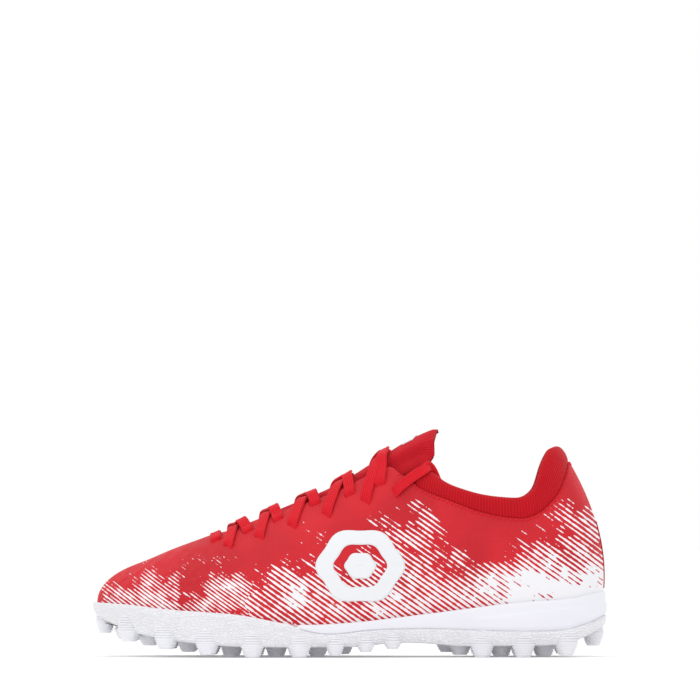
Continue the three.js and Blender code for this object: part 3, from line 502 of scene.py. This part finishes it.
def braid():
    """The lace: two raised edges, lengthwise ribs and a herringbone across them."""
    g = Graph("lace_braid", Roughness=0.75, Specular_IOR_Level=0.25, Sheen_Weight=0.05)
    u, v, _ = g.split(g.place(uv=True))
    ribs = g.wave(v, 0.00115)
    lean = g.math("MULTIPLY_ADD", g.math("ABSOLUTE", v), 0.9, u)
    picks = g.wave(lean, 0.0011)
    relief = g.math("ADD", ribs, g.math("MULTIPLY", picks, 0.5))
    # Painted shade and highlight: darker in the hollows between the ribs and picks, lighter on their crests.
    tone = g.mix(g.ramp(relief, 0.15, 1.2), LACE_SHADE, LACE_RED)
    return g.finish(Base_Color=tone, Normal=g.bump(relief, 0.0002, 0.8))


SHELL = printed_textile()
KNIT = knit("collar_rib_knit", KNIT_RED, KNIT_SHADE, 0.0017, 0.0012, 0.00025)
TONGUE_KNIT = knit("tongue_fine_knit", (0.66, 0.01, 0.022), (0.42, 0.004, 0.012), 0.0012, 0.0009, 0.00012)
LACE = braid()
LINING = woven("lining_mesh", (0.42, 0.008, 0.016), (0.2, 0.002, 0.005), 0.0011, 0.00015)
FOOTBED = woven("footbed_cover", (0.45, 0.01, 0.02), (0.26, 0.004, 0.009), 0.0007, 0.0001)
BOARD = woven("board_fibre", (0.62, 0.55, 0.42), (0.45, 0.38, 0.28), 0.002, 0.0001)
RUBBER = moulded("outsole_rubber", SOLE_WHITE, 0.5, 2500, 0.00006, net=True)
LUG_RUBBER = moulded("lug_rubber", SOLE_WHITE, 0.46, 1800, 0.00005)
FOAM = moulded("midsole_foam", (0.8, 0.8, 0.86), 0.55, 3500, 0.00005)
PADDING = moulded("padding_foam", (0.75, 0.7, 0.55), 0.85, 1600, 0.0003)
STIFFENER = moulded("stiffener_sheet", (0.66, 0.63, 0.55), 0.6, 900, 0.0001)
TRANSFER = moulded("transfer_film", (0.78, 0.8, 0.83), 0.4, 1500, 0.00003)
TIP_FILM = moulded("lace_tip_film", (0.6, 0.01, 0.02), 0.25, 700, 0.00003)

# ---------------------------------------------------------------- the upper

THROAT_END = 10.3
LOBE = 6.7
LINING_END = 10.7


def taper(at_lobe, at_end):
    return lambda station: at_lobe + (at_end - at_lobe) * (station - LOBE) / (THROAT_END - LOBE)


# Distances from the ridge: the throat's edge, the tongue's edge and the lining's front edge.
throat_half, tongue_half, lining_edge = taper(19, 9), taper(31, 25), taper(46, 33)


def shell_top(at):
    """The v of the shell's upper edge: the collar seam, the throat's edge, and the ridge over the toe."""
    station = station_of(at)
    shut = smoothstep(station, THROAT_END - 0.5, THROAT_END)
    by_throat = v_from_rim(at, np.maximum(throat_half(station) * (1 - shut), 0))
    by_seam = v_at_height(at, SHELL_TOP)
    return by_seam + (by_throat - by_seam) * smoothstep(station, LOBE - 0.2, LOBE + 0.2)


def bell(x, z, cx, cz, wx, wz):
    return np.exp(-(((x - cx) / wx) ** 2) - ((z - cz) / wz) ** 2)


# Where the print is denser or, with a negative weight, thinner: weight, middle x and z, reach in x and z.
PRINT_PATCHES = [
    (0.66, 2, 56, 56, 26),  # round the side panel
    (0.95, 42, 74, 24, 22),  # the band that climbs towards the throat
    (0.4, -34, 38, 16, 14),
    (0.72, 100, 36, 44, 26),
    (1.25, 126, 62, 30, 34),
    (0.45, -66, 40, 12, 14),
    (0.45, -100, 38, 12, 11),
    (-0.35, -52, 28, 12, 9),
    (-0.35, -86, 36, 7, 10),
    (-0.5, 112, 70, 9, 7),
    (-0.6, 128, 46, 7, 9),
]


def print_density(x, z):
    """How much of the shell the white print covers: at 0 none, at 1 all, give or take its broken edges."""
    field = -0.8 + 1.12 * (1 - smoothstep(z, 28, 64)) * smoothstep(x, -152, -128)
    for weight, *patch in PRINT_PATCHES:
        field += weight * bell(x, z, *patch)
    # Ahead of the heel the print stops at a wide V, which leaves the shell under the ankle red.
    foot_x, foot_z = 72, 51
    edge = foot_z + 1.15 * np.maximum(foot_x - x, 0) + 0.83 * np.maximum(x - foot_x, 0)
    return field - 1.5 * smoothstep(z - edge, -1, 4) * (1 - smoothstep(x, 114, 120))


def make_shell():
    at = np.linspace(0, TURN, 378)[:-1][None, :]
    v = np.linspace(0, 1, 64)[:, None] * shell_top(at[0])[None, :]
    shell = skin("shell_textile", at, v, 0, 1.4, SHELL, closed=True, replaces=("upper_shell",))
    xyz = np.array([p.co[:] for p in shell.data.vertices]) / MM
    white = print_density(xyz[:, 0], xyz[:, 2])
    scales = smoothstep(-xyz[:, 0], 52, 84) * smoothstep(xyz[:, 2], 30, 42)
    for key, value in {"white": white, "scales": scales}.items():
        shell.data.attributes.new(key, "FLOAT", "POINT").data.foreach_set("value", value)
    return shell


def make_lining():
    at = np.linspace(0, TURN, 200)[:-1][None, :]
    station = station_of(at[0])
    by_seam = v_at_height(at[0], raised(SHELL_TOP, -1))
    wing = np.where(station < LINING_END, lining_edge(np.minimum(station, LINING_END)), 0.0)
    by_wing = v_from_rim(at[0], wing)
    top = by_seam + (by_wing - by_seam) * smoothstep(station, 5.5, 6.0)
    v = 0.02 + np.linspace(0, 1, 24)[:, None] * (top - 0.02)[None, :]
    return skin("lining_mesh", at, v, -3.6, 1.1, LINING, closed=True, replaces=("upper_lining",))


# The collar's cross-section, as (share of its height, depth under the last), from behind the shell's edge.
COLLAR_SECTION = [
    (-0.16, 2.2), (-0.04, 1.1), (0.1, 0.1), (0.3, -0.5), (0.55, -0.7), (0.78, -0.3), (0.92, 0.6),
    (1.0, 2.0), (0.99, 3.4), (0.9, 4.8), (0.7, 5.7), (0.4, 5.9), (0.1, 5.6), (-0.16, 5.2),
]
COLLAR_END = 6.04  # the station of its front ends


def make_collar():
    at = np.linspace(-COLLAR_END, COLLAR_END, 220)
    low, high = v_at_height(at, SHELL_TOP), v_at_height(at, COLLAR_TOP)
    share, depth = np.array(COLLAR_SECTION).T
    v = low[:, None] + share[None, :] * (high - low)[:, None]
    sections = on_last(at[:, None], v, -np.broadcast_to(depth, v.shape))
    uv = cloth_uv(run_along(sections[:, 4])[:, None], run_along(sections[110])[None, :])
    collar = loft("collar_knit_band", sections, KNIT, uv=uv,
                  replaces=("collar_knit", "collar_foam_lateral", "collar_foam_medial"))
    apply_modifier(collar, "SUBSURF", levels=2, render_levels=2)
    return collar


TONGUE_HALF_THICK = 1.7


def tongue_crown(station):
    """How deep the tongue's surface lies on the ridge: the laces press it down below its free top."""
    return 0.8 + 1.4 * smoothstep(station, 6.5, 7.3)


def tongue_reach(station):
    front = (tongue_half(station) - 30) * smoothstep(station, 7.2, 8.2)
    return 12 + 18 * np.sqrt(smoothstep(station, 5.99, 6.15)) + front


def make_tongue():
    """One padded knit piece under the laces, from the throat's end to the free tip."""
    stations = np.concatenate([[6.0], np.linspace(6.03, 10.45, 110)])
    shares = np.linspace(-1, 1, 33)
    reach = tongue_reach(stations)
    d = np.abs(shares)[None, :] * reach[:, None]
    rearward = 0.2 * smoothstep(d, 4, 20) * (1 - smoothstep(stations, 6.0, 6.3))[:, None]
    place = stations[:, None] - rearward  # the free edge slants down behind the ridge's end
    at = np.where(shares[None, :] < 0, place, TURN - place)
    v = v_from_rim(at, d)
    half = throat_half(stations)[:, None]
    covered = np.maximum(smoothstep(d, half - 8, half - 0.5),
                         smoothstep(stations, THROAT_END - 1.1, THROAT_END - 0.6)[:, None])
    crown = tongue_crown(stations)[:, None]
    top = crown - 0.3 + (4.8 - crown) * covered
    edge = np.sqrt(np.maximum(1 - np.abs(shares) ** 6, 0))[None, :]
    swell = 0.5 + 0.5 * smoothstep(stations, 6.0, 6.15)[:, None]
    half_thick = TONGUE_HALF_THICK * edge * swell
    outer = on_last(at, v, -(top + TONGUE_HALF_THICK - half_thick))
    inner = on_last(at, v, -(top + TONGUE_HALF_THICK + half_thick))
    sections = np.concatenate([outer, inner[:, -2:0:-1]], axis=1)[:, ::-1]
    side = np.concatenate([shares, shares[-2:0:-1]])[::-1][None, :] * reach[:, None]
    uv = cloth_uv(side, run_along(outer[:, 16])[:, None])
    tongue = loft("tongue_knit_pad", sections, TONGUE_KNIT, uv=uv, body=None,
                  replaces=("tongue_knit", "tongue_tab"))
    return tongue


make_shell()
make_lining()
make_collar()
tongue = make_tongue()

# ---------------------------------------------------------------- the lace

# Lace holes on the lateral side, as (x, z): the first of a pair takes the lace in and the second lets it out.
HOLES = [
    ((-74.5, 65), (-67.8, 61.9)),
    ((-56.3, 70), (-50.6, 66.7)),
    ((-39.7, 76.6), (-32.3, 73)),
    ((-18.8, 85.2), (-13.2, 79.3)),
    ((0.3, 90.3), (8.7, 86.6)),
    ((17.2, 95.9), (25, 91.7)),
]
LACE_WIDTH = 6.2
LACE_THICK = 1.5
LACE_OVER = 1.15  # the lace's middle above the shell
LACE_IN_HOLE = -0.8
LACE_UNDER = -3.6  # and below it, between the two holes of a pair
LACE_STEP = 1.9  # how far the upper of two crossing strands rides over the lower
STRAND = (0.08, 0.2, 0.38, 0.6, 0.84)  # shares of a strand where its lift is set
# Each end's way over the collar's brim and down inside it, as (x, z, lift).
LACE_END = ((44, 107.2, -0.9), (44, 107.2, -3.9), (45, 104, -6.5), (46.8, 97.5, -7.2), (49, 91, -7.9))


def place_at(x, z, medial=False):
    """Ring places and v of the points of one side with given x and z."""
    x, z = np.broadcast_arrays(np.asarray(x, float), np.asarray(z, float))
    low, high = np.zeros_like(x), np.full_like(x, TOE)
    for _ in range(22):
        middle = (low + high) / 2
        at = TURN - middle if medial else middle
        ahead = last_point(at, v_at_height(at, z))[..., 0] > x
        low, high = np.where(ahead, middle, low), np.where(ahead, high, middle)
    at = TURN - low if medial else low
    return at, v_at_height(at, z)


def lace_places():
    """Each hole's station and v on the lateral side and on the medial one, as far from the ridge."""
    places = []
    for pair in HOLES:
        row = []
        for x, z in pair:
            at, v = (float(value) for value in place_at(x, z))
            shares = np.linspace(v, 1, 60)
            p = last_point(np.full(60, at), shares)
            d = np.linalg.norm(np.diff(p, axis=0), axis=1).sum()
            row.append({-1: (at, v, d), 1: (at, float(v_from_rim(TURN - at, d)), d)})
        places.append(row)
    return places


def strand_lift(station, d, on_top):
    """A strand's lift at a distance d from the ridge: it sinks to the tongue or rides over another strand."""
    sunk = LACE_THICK / 2 + 0.1 - float(tongue_crown(station))
    lift = sunk + (LACE_OVER - sunk) * float(smoothstep(d, 2, throat_half(station) - 1.5))
    return lift + LACE_STEP * (1 - float(smoothstep(d, 13, 18))) if on_top else lift


def lace_half(places, start, over):
    """Half of the lace, from the bottom bar's middle to its end in the collar: (side, station, v, lift)."""
    path = []

    def between(side, a, b, t, lift):
        path.append((side, a[0] + (b[0] - a[0]) * t, a[1] + (b[1] - a[1]) * t, lift))

    came = None
    for k, (high_at, low_at) in enumerate(places):
        side = start if k % 2 == 0 else -start
        high, low = high_at[side], low_at[side]
        middle = (high[0] if k == 0 else (came[0] + high[0]) / 2, 1.0)
        on_top = k > 0 and k % 2 == over
        if k > 0:
            for t in STRAND:
                between(-side, came, middle, t, strand_lift(middle[0], came[2] * (1 - t), on_top))
        path.append((side, *middle, strand_lift(middle[0], 0, on_top) + 0.3))
        for t in STRAND[::-1]:
            between(side, high, middle, t, strand_lift(middle[0], high[2] * (1 - t), on_top))
        path.append((side, *high[:2], LACE_IN_HOLE))
        for t in (0.25, 0.5, 0.75):
            between(side, high, low, t, LACE_UNDER)
        path.append((side, *low[:2], LACE_IN_HOLE))
        came = low
    brim = [float(q) for q in place_at(43.5, 104.5, side > 0)]
    brim[0] = float(station_of(brim[0]))
    for t in (0.08, 0.3, 0.6, 0.9):
        between(side, came, brim, t, LACE_OVER + 0.5)
    for x, z, lift in LACE_END:
        at, v = (float(q) for q in place_at(x, z, side > 0))
        path.append((side, float(station_of(at)), v, lift))
    return path


def spline(points, steps):
    """Points of a Catmull-Rom curve through rows of values."""
    padded = np.concatenate([points[:1], points, points[-1:]])
    a, b, c, d = padded[:-3], padded[1:-2], padded[2:-1], padded[3:]
    t = (np.arange(steps) / steps)[:, None, None]
    out = span_curve(a, b, c, d, t)
    return np.concatenate([out.transpose(1, 0, 2).reshape(-1, points.shape[1]), points[-1:]])


def smooth_rows(rows, passes):
    for _ in range(passes):
        rows[1:-1] = (rows[:-2] + 2 * rows[1:-1] + rows[2:]) / 4
    return rows


def make_lace():
    places = lace_places()
    marks = lace_half(places, -1, 0)[::-1] + lace_half(places, 1, 1)[1:]
    side, station, v, lift = (np.array(column) for column in zip(*marks))
    at = np.where(side < 0, station, TURN - station)
    out = last_normal(at, v)
    line = spline(np.concatenate([last_point(at, v) + out * lift[:, None], out], axis=1), 6)
    points, out = smooth_rows(line[:, :3].copy(), 3), unit(line[:, 3:])
    along = unit(chords(points))
    wide = smooth_rows(unit(np.cross(chords(points, 11), out)), 12)
    wide = unit(wide - along * (wide * along).sum(1, keepdims=True))
    face = np.cross(wide, along)
    s = np.cos(np.linspace(0, math.pi, 11))
    plump = np.sqrt(np.maximum(1 - np.abs(s) ** 8, 0)) * (0.6 + 0.28 * np.abs(s) ** 3 + 0.05 * np.cos(s * 9))
    across = np.concatenate([s, s[-2:0:-1]]) * LACE_WIDTH / 2
    tall = np.concatenate([plump, -plump[-2:0:-1]])
    sections = points[:, None] + wide[:, None] * across[None, :, None] + face[:, None] * tall[None, :, None]
    uv = cloth_uv(run_along(points)[:, None], across[None, :])
    return loft("lace_braid_flat", sections, LACE, uv=uv, replaces=("lace",))


make_lace()

# ---------------------------------------------------------------- applied pieces


EMBLEM_X, EMBLEM_Z = 6, 51
EMBLEM_REACH = 25
EMBLEM_TALL = 0.86  # its height over its length


def emblem_band(name, medial, shares, sides, **more):
    """A band of a plain ball panel with six rounded corners, between two shares of its reach."""
    angle = np.linspace(0, 2 * math.pi, sides + 1)[:-1] * (1 if medial else -1)
    reach = EMBLEM_REACH * shares[:, None] * (1 - 0.045 * (1 - np.cos(6 * angle)))
    x = EMBLEM_X + reach * np.cos(angle)
    z = EMBLEM_Z + reach * np.sin(angle) * EMBLEM_TALL
    at, v = place_at(x, z, medial)
    return skin(name, at, v, 0.3, 0.5, TRANSFER, closed=True, **more)


def make_emblems():
    """On each side a six-sided ring and, inside it, a six-sided patch."""
    ring_shares, patch_shares = np.linspace(1, 0.6, 9), np.linspace(0.36, 0.002, 7)
    sides = {"lateral": False, "medial": True}
    for side, medial in sides.items():
        emblem_band(f"side_panel_{side}", medial, ring_shares, 144, replaces=(f"side_emblem_{side}",))
    for side, medial in sides.items():
        emblem_band(f"side_panel_centre_{side}", medial, patch_shares, 72)


def make_heel_strip():
    at = np.linspace(-0.16, 0.16, 9)[None, :]
    share = np.linspace(0, 1, 40)[:, None]
    foot, top = v_at_height(at, 38.5), v_at_height(at, 76)
    v = foot + share * (top - foot)
    return skin("heel_strip_tape", at, v, 0.5, 0.6, KNIT, replaces=("heel_strip",))


LABEL_HALF = 5.5


def make_label():
    """The blank woven label on the tongue's free top."""
    shares = np.linspace(-1, 1, 21)[:, None]
    station = np.linspace(6.44, 6.63, 9)[None, :]
    at = np.where(shares < 0, station, TURN - station)
    v = v_from_rim(at, np.abs(shares) * LABEL_HALF)
    return skin("tongue_label_woven", at, v, 0.15, 0.6, TRANSFER, body="tongue_top",
                replaces=("tongue_label",))


def tube_sections(points, radius, sides=8):
    """Round sections along a path of points."""
    along = unit(chords(points))
    first = unit(np.cross(along, np.array([0.13, 0.31, 0.94])))[:, None]
    second = np.cross(along, first[:, 0])[:, None]
    angle = np.linspace(0, 2 * math.pi, sides, endpoint=False)[None, :, None]
    return points[:, None] + radius * (np.cos(angle) * first + np.sin(angle) * second)


def make_seam():
    """The overlocking thread that zigzags along the shell's edge at the collar."""
    count = 190
    at = np.linspace(-6.5, 6.5, count)
    seam = v_at_height(at, raised(SHELL_TOP, -0.2))
    inner = v_at_height(at, raised(SHELL_TOP, -1.9))
    v = np.where(np.arange(count) % 2 == 0, seam, inner)
    lift = np.where(np.arange(count) % 2 == 0, 0.05, 0.16)
    points = spline(on_last(at, v, lift), 4)
    return loft("collar_overlock_thread", tube_sections(points, 0.24), LACE,
                uv=np.repeat(np.arange(len(points)) * 0.0004, 8)[:, None] * [1, 0])


make_emblems()
make_heel_strip()
make_label()
make_seam()

# ---------------------------------------------------------------- the sole unit

SOLE_AT = np.linspace(0, TURN, 324)[:-1]
SOLE_X = outline(SOLE_AT, 0, 0)[:, 0]
REAR = smoothstep(SOLE_X, -35, -27)  # 0 where the outsole's wall reaches the upper, 1 where the midsole shows
WALL_TOP = profile(SOLE_TOP, SOLE_X)
WALL_FOOT = profile(SOLE_BOTTOM, SOLE_X)
SPLIT = WALL_TOP + (profile(PARTING, SOLE_X) - WALL_TOP) * REAR
BED = catmull_rom(BED_Z, SOLE_AT)


def ring_solid(name, rows, material, **more):
    """A solid from rings round the sole, each (outset, height), capped across the first and the last."""
    n = len(SOLE_AT)
    points = np.concatenate([outline(SOLE_AT, outset, z) for outset, z in rows])
    faces = [tuple(f) for f in grid_faces(len(rows), n, wrap_columns=True, flip=True)]
    for start, flip in ((0, False), ((len(rows) - 1) * n, True)):
        for i in range(n // 2):
            quad = [start + i, start + i + 1, start + (n - i - 1) % n, start + (n - i) % n]
            quad = list(dict.fromkeys(quad))
            if len(quad) > 2:
                faces.append(tuple(quad[::-1] if flip else quad))
    return mesh_piece(name, points, faces, material, **more)


def outsole_rows():
    rise = SPLIT - WALL_FOOT
    return [
        (-4, WALL_FOOT), (-2.3, WALL_FOOT + 0.5), (-1.2, WALL_FOOT + 1.6), (-0.5, WALL_FOOT + 0.3 * rise),
        (0.1, WALL_FOOT + 0.5 * rise), (0.45, WALL_FOOT + 0.75 * rise), (0.45, SPLIT - 1.1),
        (0.2, SPLIT - 0.4), (-0.4, SPLIT), (-1.6, SPLIT + 0.05 * (1 - REAR)), (-3.1, SPLIT - 0.5),
        (-3.7, SPLIT - 1.4), (-6, BED - 2.4),
    ]


def midsole_rows():
    rise = WALL_TOP - SPLIT
    groove = profile(HEEL_GROOVE, SOLE_X)
    shows = smoothstep(SOLE_X, 62, 84)
    rows = [(-6, BED - 3.2), (-1.6, SPLIT - 0.6), (-0.7, SPLIT + 0.1), (-0.2, SPLIT + 0.08 * rise)]
    for share in np.linspace(0.14, 0.93, 18):
        z = SPLIT + share * rise
        below = 1 - smoothstep(z, groove - 0.7, groove + 0.7)
        swell = 0.35 * np.sin(np.pi * share) + shows * (0.75 * below - 0.35)
        rows.append((swell, z))
    rows += [(-0.5, WALL_TOP - 0.25), (-1.2, WALL_TOP), (-2.6, WALL_TOP - 0.2), (-3.5, WALL_TOP - 1.4)]
    rows += [(-6, BED - 0.5)]
    hidden = BED - 2.6
    return [(-5 + (o + 5) * REAR, hidden + (z - hidden) * REAR) for o, z in rows]


EDGE_LUGS = (-123, -102, -79, -54, -28, 74, 97, 121)
SMALL_EDGE_LUGS = (-8, 9, 24)
INNER_LUGS = (-112, -90, -66, -41, -18, 62, 85, 109)
CENTRE_LUGS = (-126, -101, -78, -53, -29, -4, 55, 74, 97, 122)
LUG_WIDTH = 13.5
LUG_FLAT = 8.6
LUG_STANDS_OUT = 1.6
LUG_STEP = 1.35


def width_at(x):
    lateral = outline(np.linspace(0, TOE, 800), 0, 0)
    medial = outline(np.linspace(TURN, TOE, 800), 0, 0)
    return [np.interp(x, side[::-1, 0], side[::-1, 1]) for side in (lateral, medial)]


def lug_profile(bottom, web, size, climb):
    """(radius, height) up a lug: stepped rings to the web, then stepped rings in to the top of its climb."""
    foot, waist = LUG_FLAT * size / 2, LUG_WIDTH * size / 2
    rows = [(foot - 0.7, bottom), (foot, bottom + 0.25)]
    z = bottom + LUG_STEP
    while z < web + climb - 0.6:
        below = foot + (waist - foot) * min((z - bottom) / max(web - bottom, 0.1), 1)
        above = math.sqrt(max(1 - max((z - web) / climb, 0) ** 2, 0.02))
        r = below * above
        rows += [(r - 0.3, z - 0.12), (r + 0.45, z), (r + 0.4, z + 0.5)]
        z += LUG_STEP
    return rows + [(rows[-1][0] * 0.5, web + climb)]


def lug(x, y, size, climb):
    bottom = max(float(profile(LUG_BOTTOM, x)), 0)
    web = float(profile(SOLE_BOTTOM, x)) + 0.5
    r, z = np.array(lug_profile(bottom, web, size, climb)).T
    sides = 24
    angle = np.linspace(0, 2 * math.pi, sides, endpoint=False) + math.pi / 2
    facet = np.minimum(0.955 / np.cos((angle + math.pi / 8) % (math.pi / 4) - math.pi / 8), 1.02)
    ring_points = np.stack([x + r[:, None] * facet * np.cos(angle), y + r[:, None] * facet * np.sin(angle),
                            np.broadcast_to(z[:, None], (len(r), sides))], -1)
    faces = [tuple(f) for f in grid_faces(len(r), sides, wrap_columns=True)]
    faces += [tuple(range(sides))[::-1], tuple(range((len(r) - 1) * sides, len(r) * sides))]
    return ring_points.reshape(-1, 3), faces


def all_lugs():
    spots = []
    for xs, share, size, climb in ((EDGE_LUGS, 1, 1, 11), (SMALL_EDGE_LUGS, 1, 0.75, 7),
                                   (INNER_LUGS, 0.5, 0.95, 2.5), (CENTRE_LUGS, 0, 0.95, 2.5)):
        for x in xs:
            lateral, medial = width_at(x)
            half = (medial - lateral) / 2 - LUG_WIDTH * size / 2 + LUG_STANDS_OUT
            for side in (1, -1) if share else (1,):
                spots.append((x, (lateral + medial) / 2 + side * share * half, size, climb))
    spots += [(-137.5, 8.5, 0.8, 8), (137, 0, 0.9, 8)]
    points, faces = [], []
    for spot in spots:
        ring_points, ring_faces = lug(*spot)
        faces += [tuple(i + len(points) for i in f) for f in ring_faces]
        points += ring_points.tolist()
    return mesh_piece("lug_tool", points, faces, LUG_RUBBER, body=None)


def make_outsole():
    outsole = ring_solid("outsole_lugged", outsole_rows(), RUBBER, replaces=("outsole",))
    tool = all_lugs()
    outsole.data.materials.append(LUG_RUBBER)
    apply_modifier(outsole, "BOOLEAN", operation="UNION", solver="MANIFOLD", object=tool,
                   material_mode="TRANSFER")
    bpy.data.objects.remove(tool)
    outsole.data.set_sharp_from_angle(angle=math.radians(28))
    return outsole


make_outsole()
ring_solid("midsole_shaped", midsole_rows(), FOAM, replaces=("midsole",))


def make_sockliner():
    """The removable insole: a dished foam pad with a fabric face and a raised rim."""
    pad = [(-8.6, BED), (-7.8, BED + 0.4), (-7.6, BED + 2.6), (-8.2, BED + 3.2), (-10, BED + 3.2)]
    top = [(-9.2, BED + 3.25), (-8.0, BED + 3.4), (-7.7, BED + 4.2), (-8.2, BED + 5.0), (-9.4, BED + 5.2),
           (-11.5, BED + 4.7), (-14.5, BED + 4.1), (-19, BED + 3.9)]
    foam = ring_solid("sockliner_pad", pad, PADDING, body="sockliner", replaces=("sockliner_foam",))
    face = ring_solid("sockliner_fabric", top, FOOTBED, body="sockliner", replaces=("sockliner_cover",))


make_sockliner()

# ---------------------------------------------------------------- kept CAD nodes

KEPT = {
    "insole_board": BOARD,
    "toe_puff": STIFFENER,
    "heel_counter": STIFFENER,
    "eyestay_backer_lateral": STIFFENER,
    "eyestay_backer_medial": STIFFENER,
    "lace_tip_lateral": TIP_FILM,
    "lace_tip_medial": TIP_FILM,
}
for node, material in KEPT.items():
    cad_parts[node].data.materials.clear()
    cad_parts[node].data.materials.append(material)

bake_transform(tongue)

# ---------------------------------------------------------------- the studio


def plane(name, size, material):
    s = size / 2
    mesh = bpy.data.meshes.new(name)
    mesh.from_pydata([(-s, -s, 0), (s, -s, 0), (s, s, 0), (-s, s, 0)], [], [(0, 1, 2, 3)])
    mesh.materials.append(material)
    obj = bpy.data.objects.new(name, mesh)
    bpy.context.collection.objects.link(obj)
    return obj


paper = Graph("studio_floor", Base_Color=(0.86, 0.86, 0.86), Roughness=0.9, Emission_Color=(1, 1, 1),
              Emission_Strength=0.13)
plane("studio_floor", 60, paper.material)


def area_light(name, place, aim, size, watts):
    data = bpy.data.lights.new(name, "AREA")
    data.shape = "RECTANGLE"
    data.size, data.size_y = size
    data.energy = watts
    obj = bpy.data.objects.new(name, data)
    bpy.context.collection.objects.link(obj)
    obj.location = place
    obj.rotation_euler = (Vector(aim) - Vector(place)).to_track_quat("-Z", "Y").to_euler()


area_light("overhead_softbox", (-0.1, -0.1, 1.2), (0, 0, 0.05), (0.9, 0.6), 2.5)
area_light("front_softbox", (-0.9, -1.4, 0.7), (0, 0, 0.05), (0.9, 0.7), 2)
area_light("back_softbox", (0.8, 1.3, 0.9), (0, 0, 0.06), (0.9, 0.7), 1)

world = bpy.data.worlds.new("studio")
bpy.context.scene.world = world
world.use_nodes = True
world.node_tree.nodes["Background"].inputs["Color"].default_value = (1, 1, 1, 1)
world.node_tree.nodes["Background"].inputs["Strength"].default_value = 1.0
bpy.context.scene.view_settings.view_transform = "Standard"

FRAME_WIDTH = 0.394
CAMERA_AWAY = 4.0
CAMERA_HEIGHT = 0.066
AIM_HEIGHT = 0.1724  # where the view's middle meets the shoe's own plane
SENSOR = 36
camera_data = bpy.data.cameras.new("camera")
camera = bpy.data.objects.new("camera", camera_data)
bpy.context.collection.objects.link(camera)
camera_data.sensor_width = SENSOR
camera_data.lens = SENSOR * CAMERA_AWAY / FRAME_WIDTH
camera_data.clip_end = 100
camera.location = (0.0003, -CAMERA_AWAY, CAMERA_HEIGHT)
tilt = math.atan((AIM_HEIGHT - CAMERA_HEIGHT) / CAMERA_AWAY)
camera.rotation_euler = (math.radians(90) + tilt, 0, 0)
bpy.context.scene.camera = camera
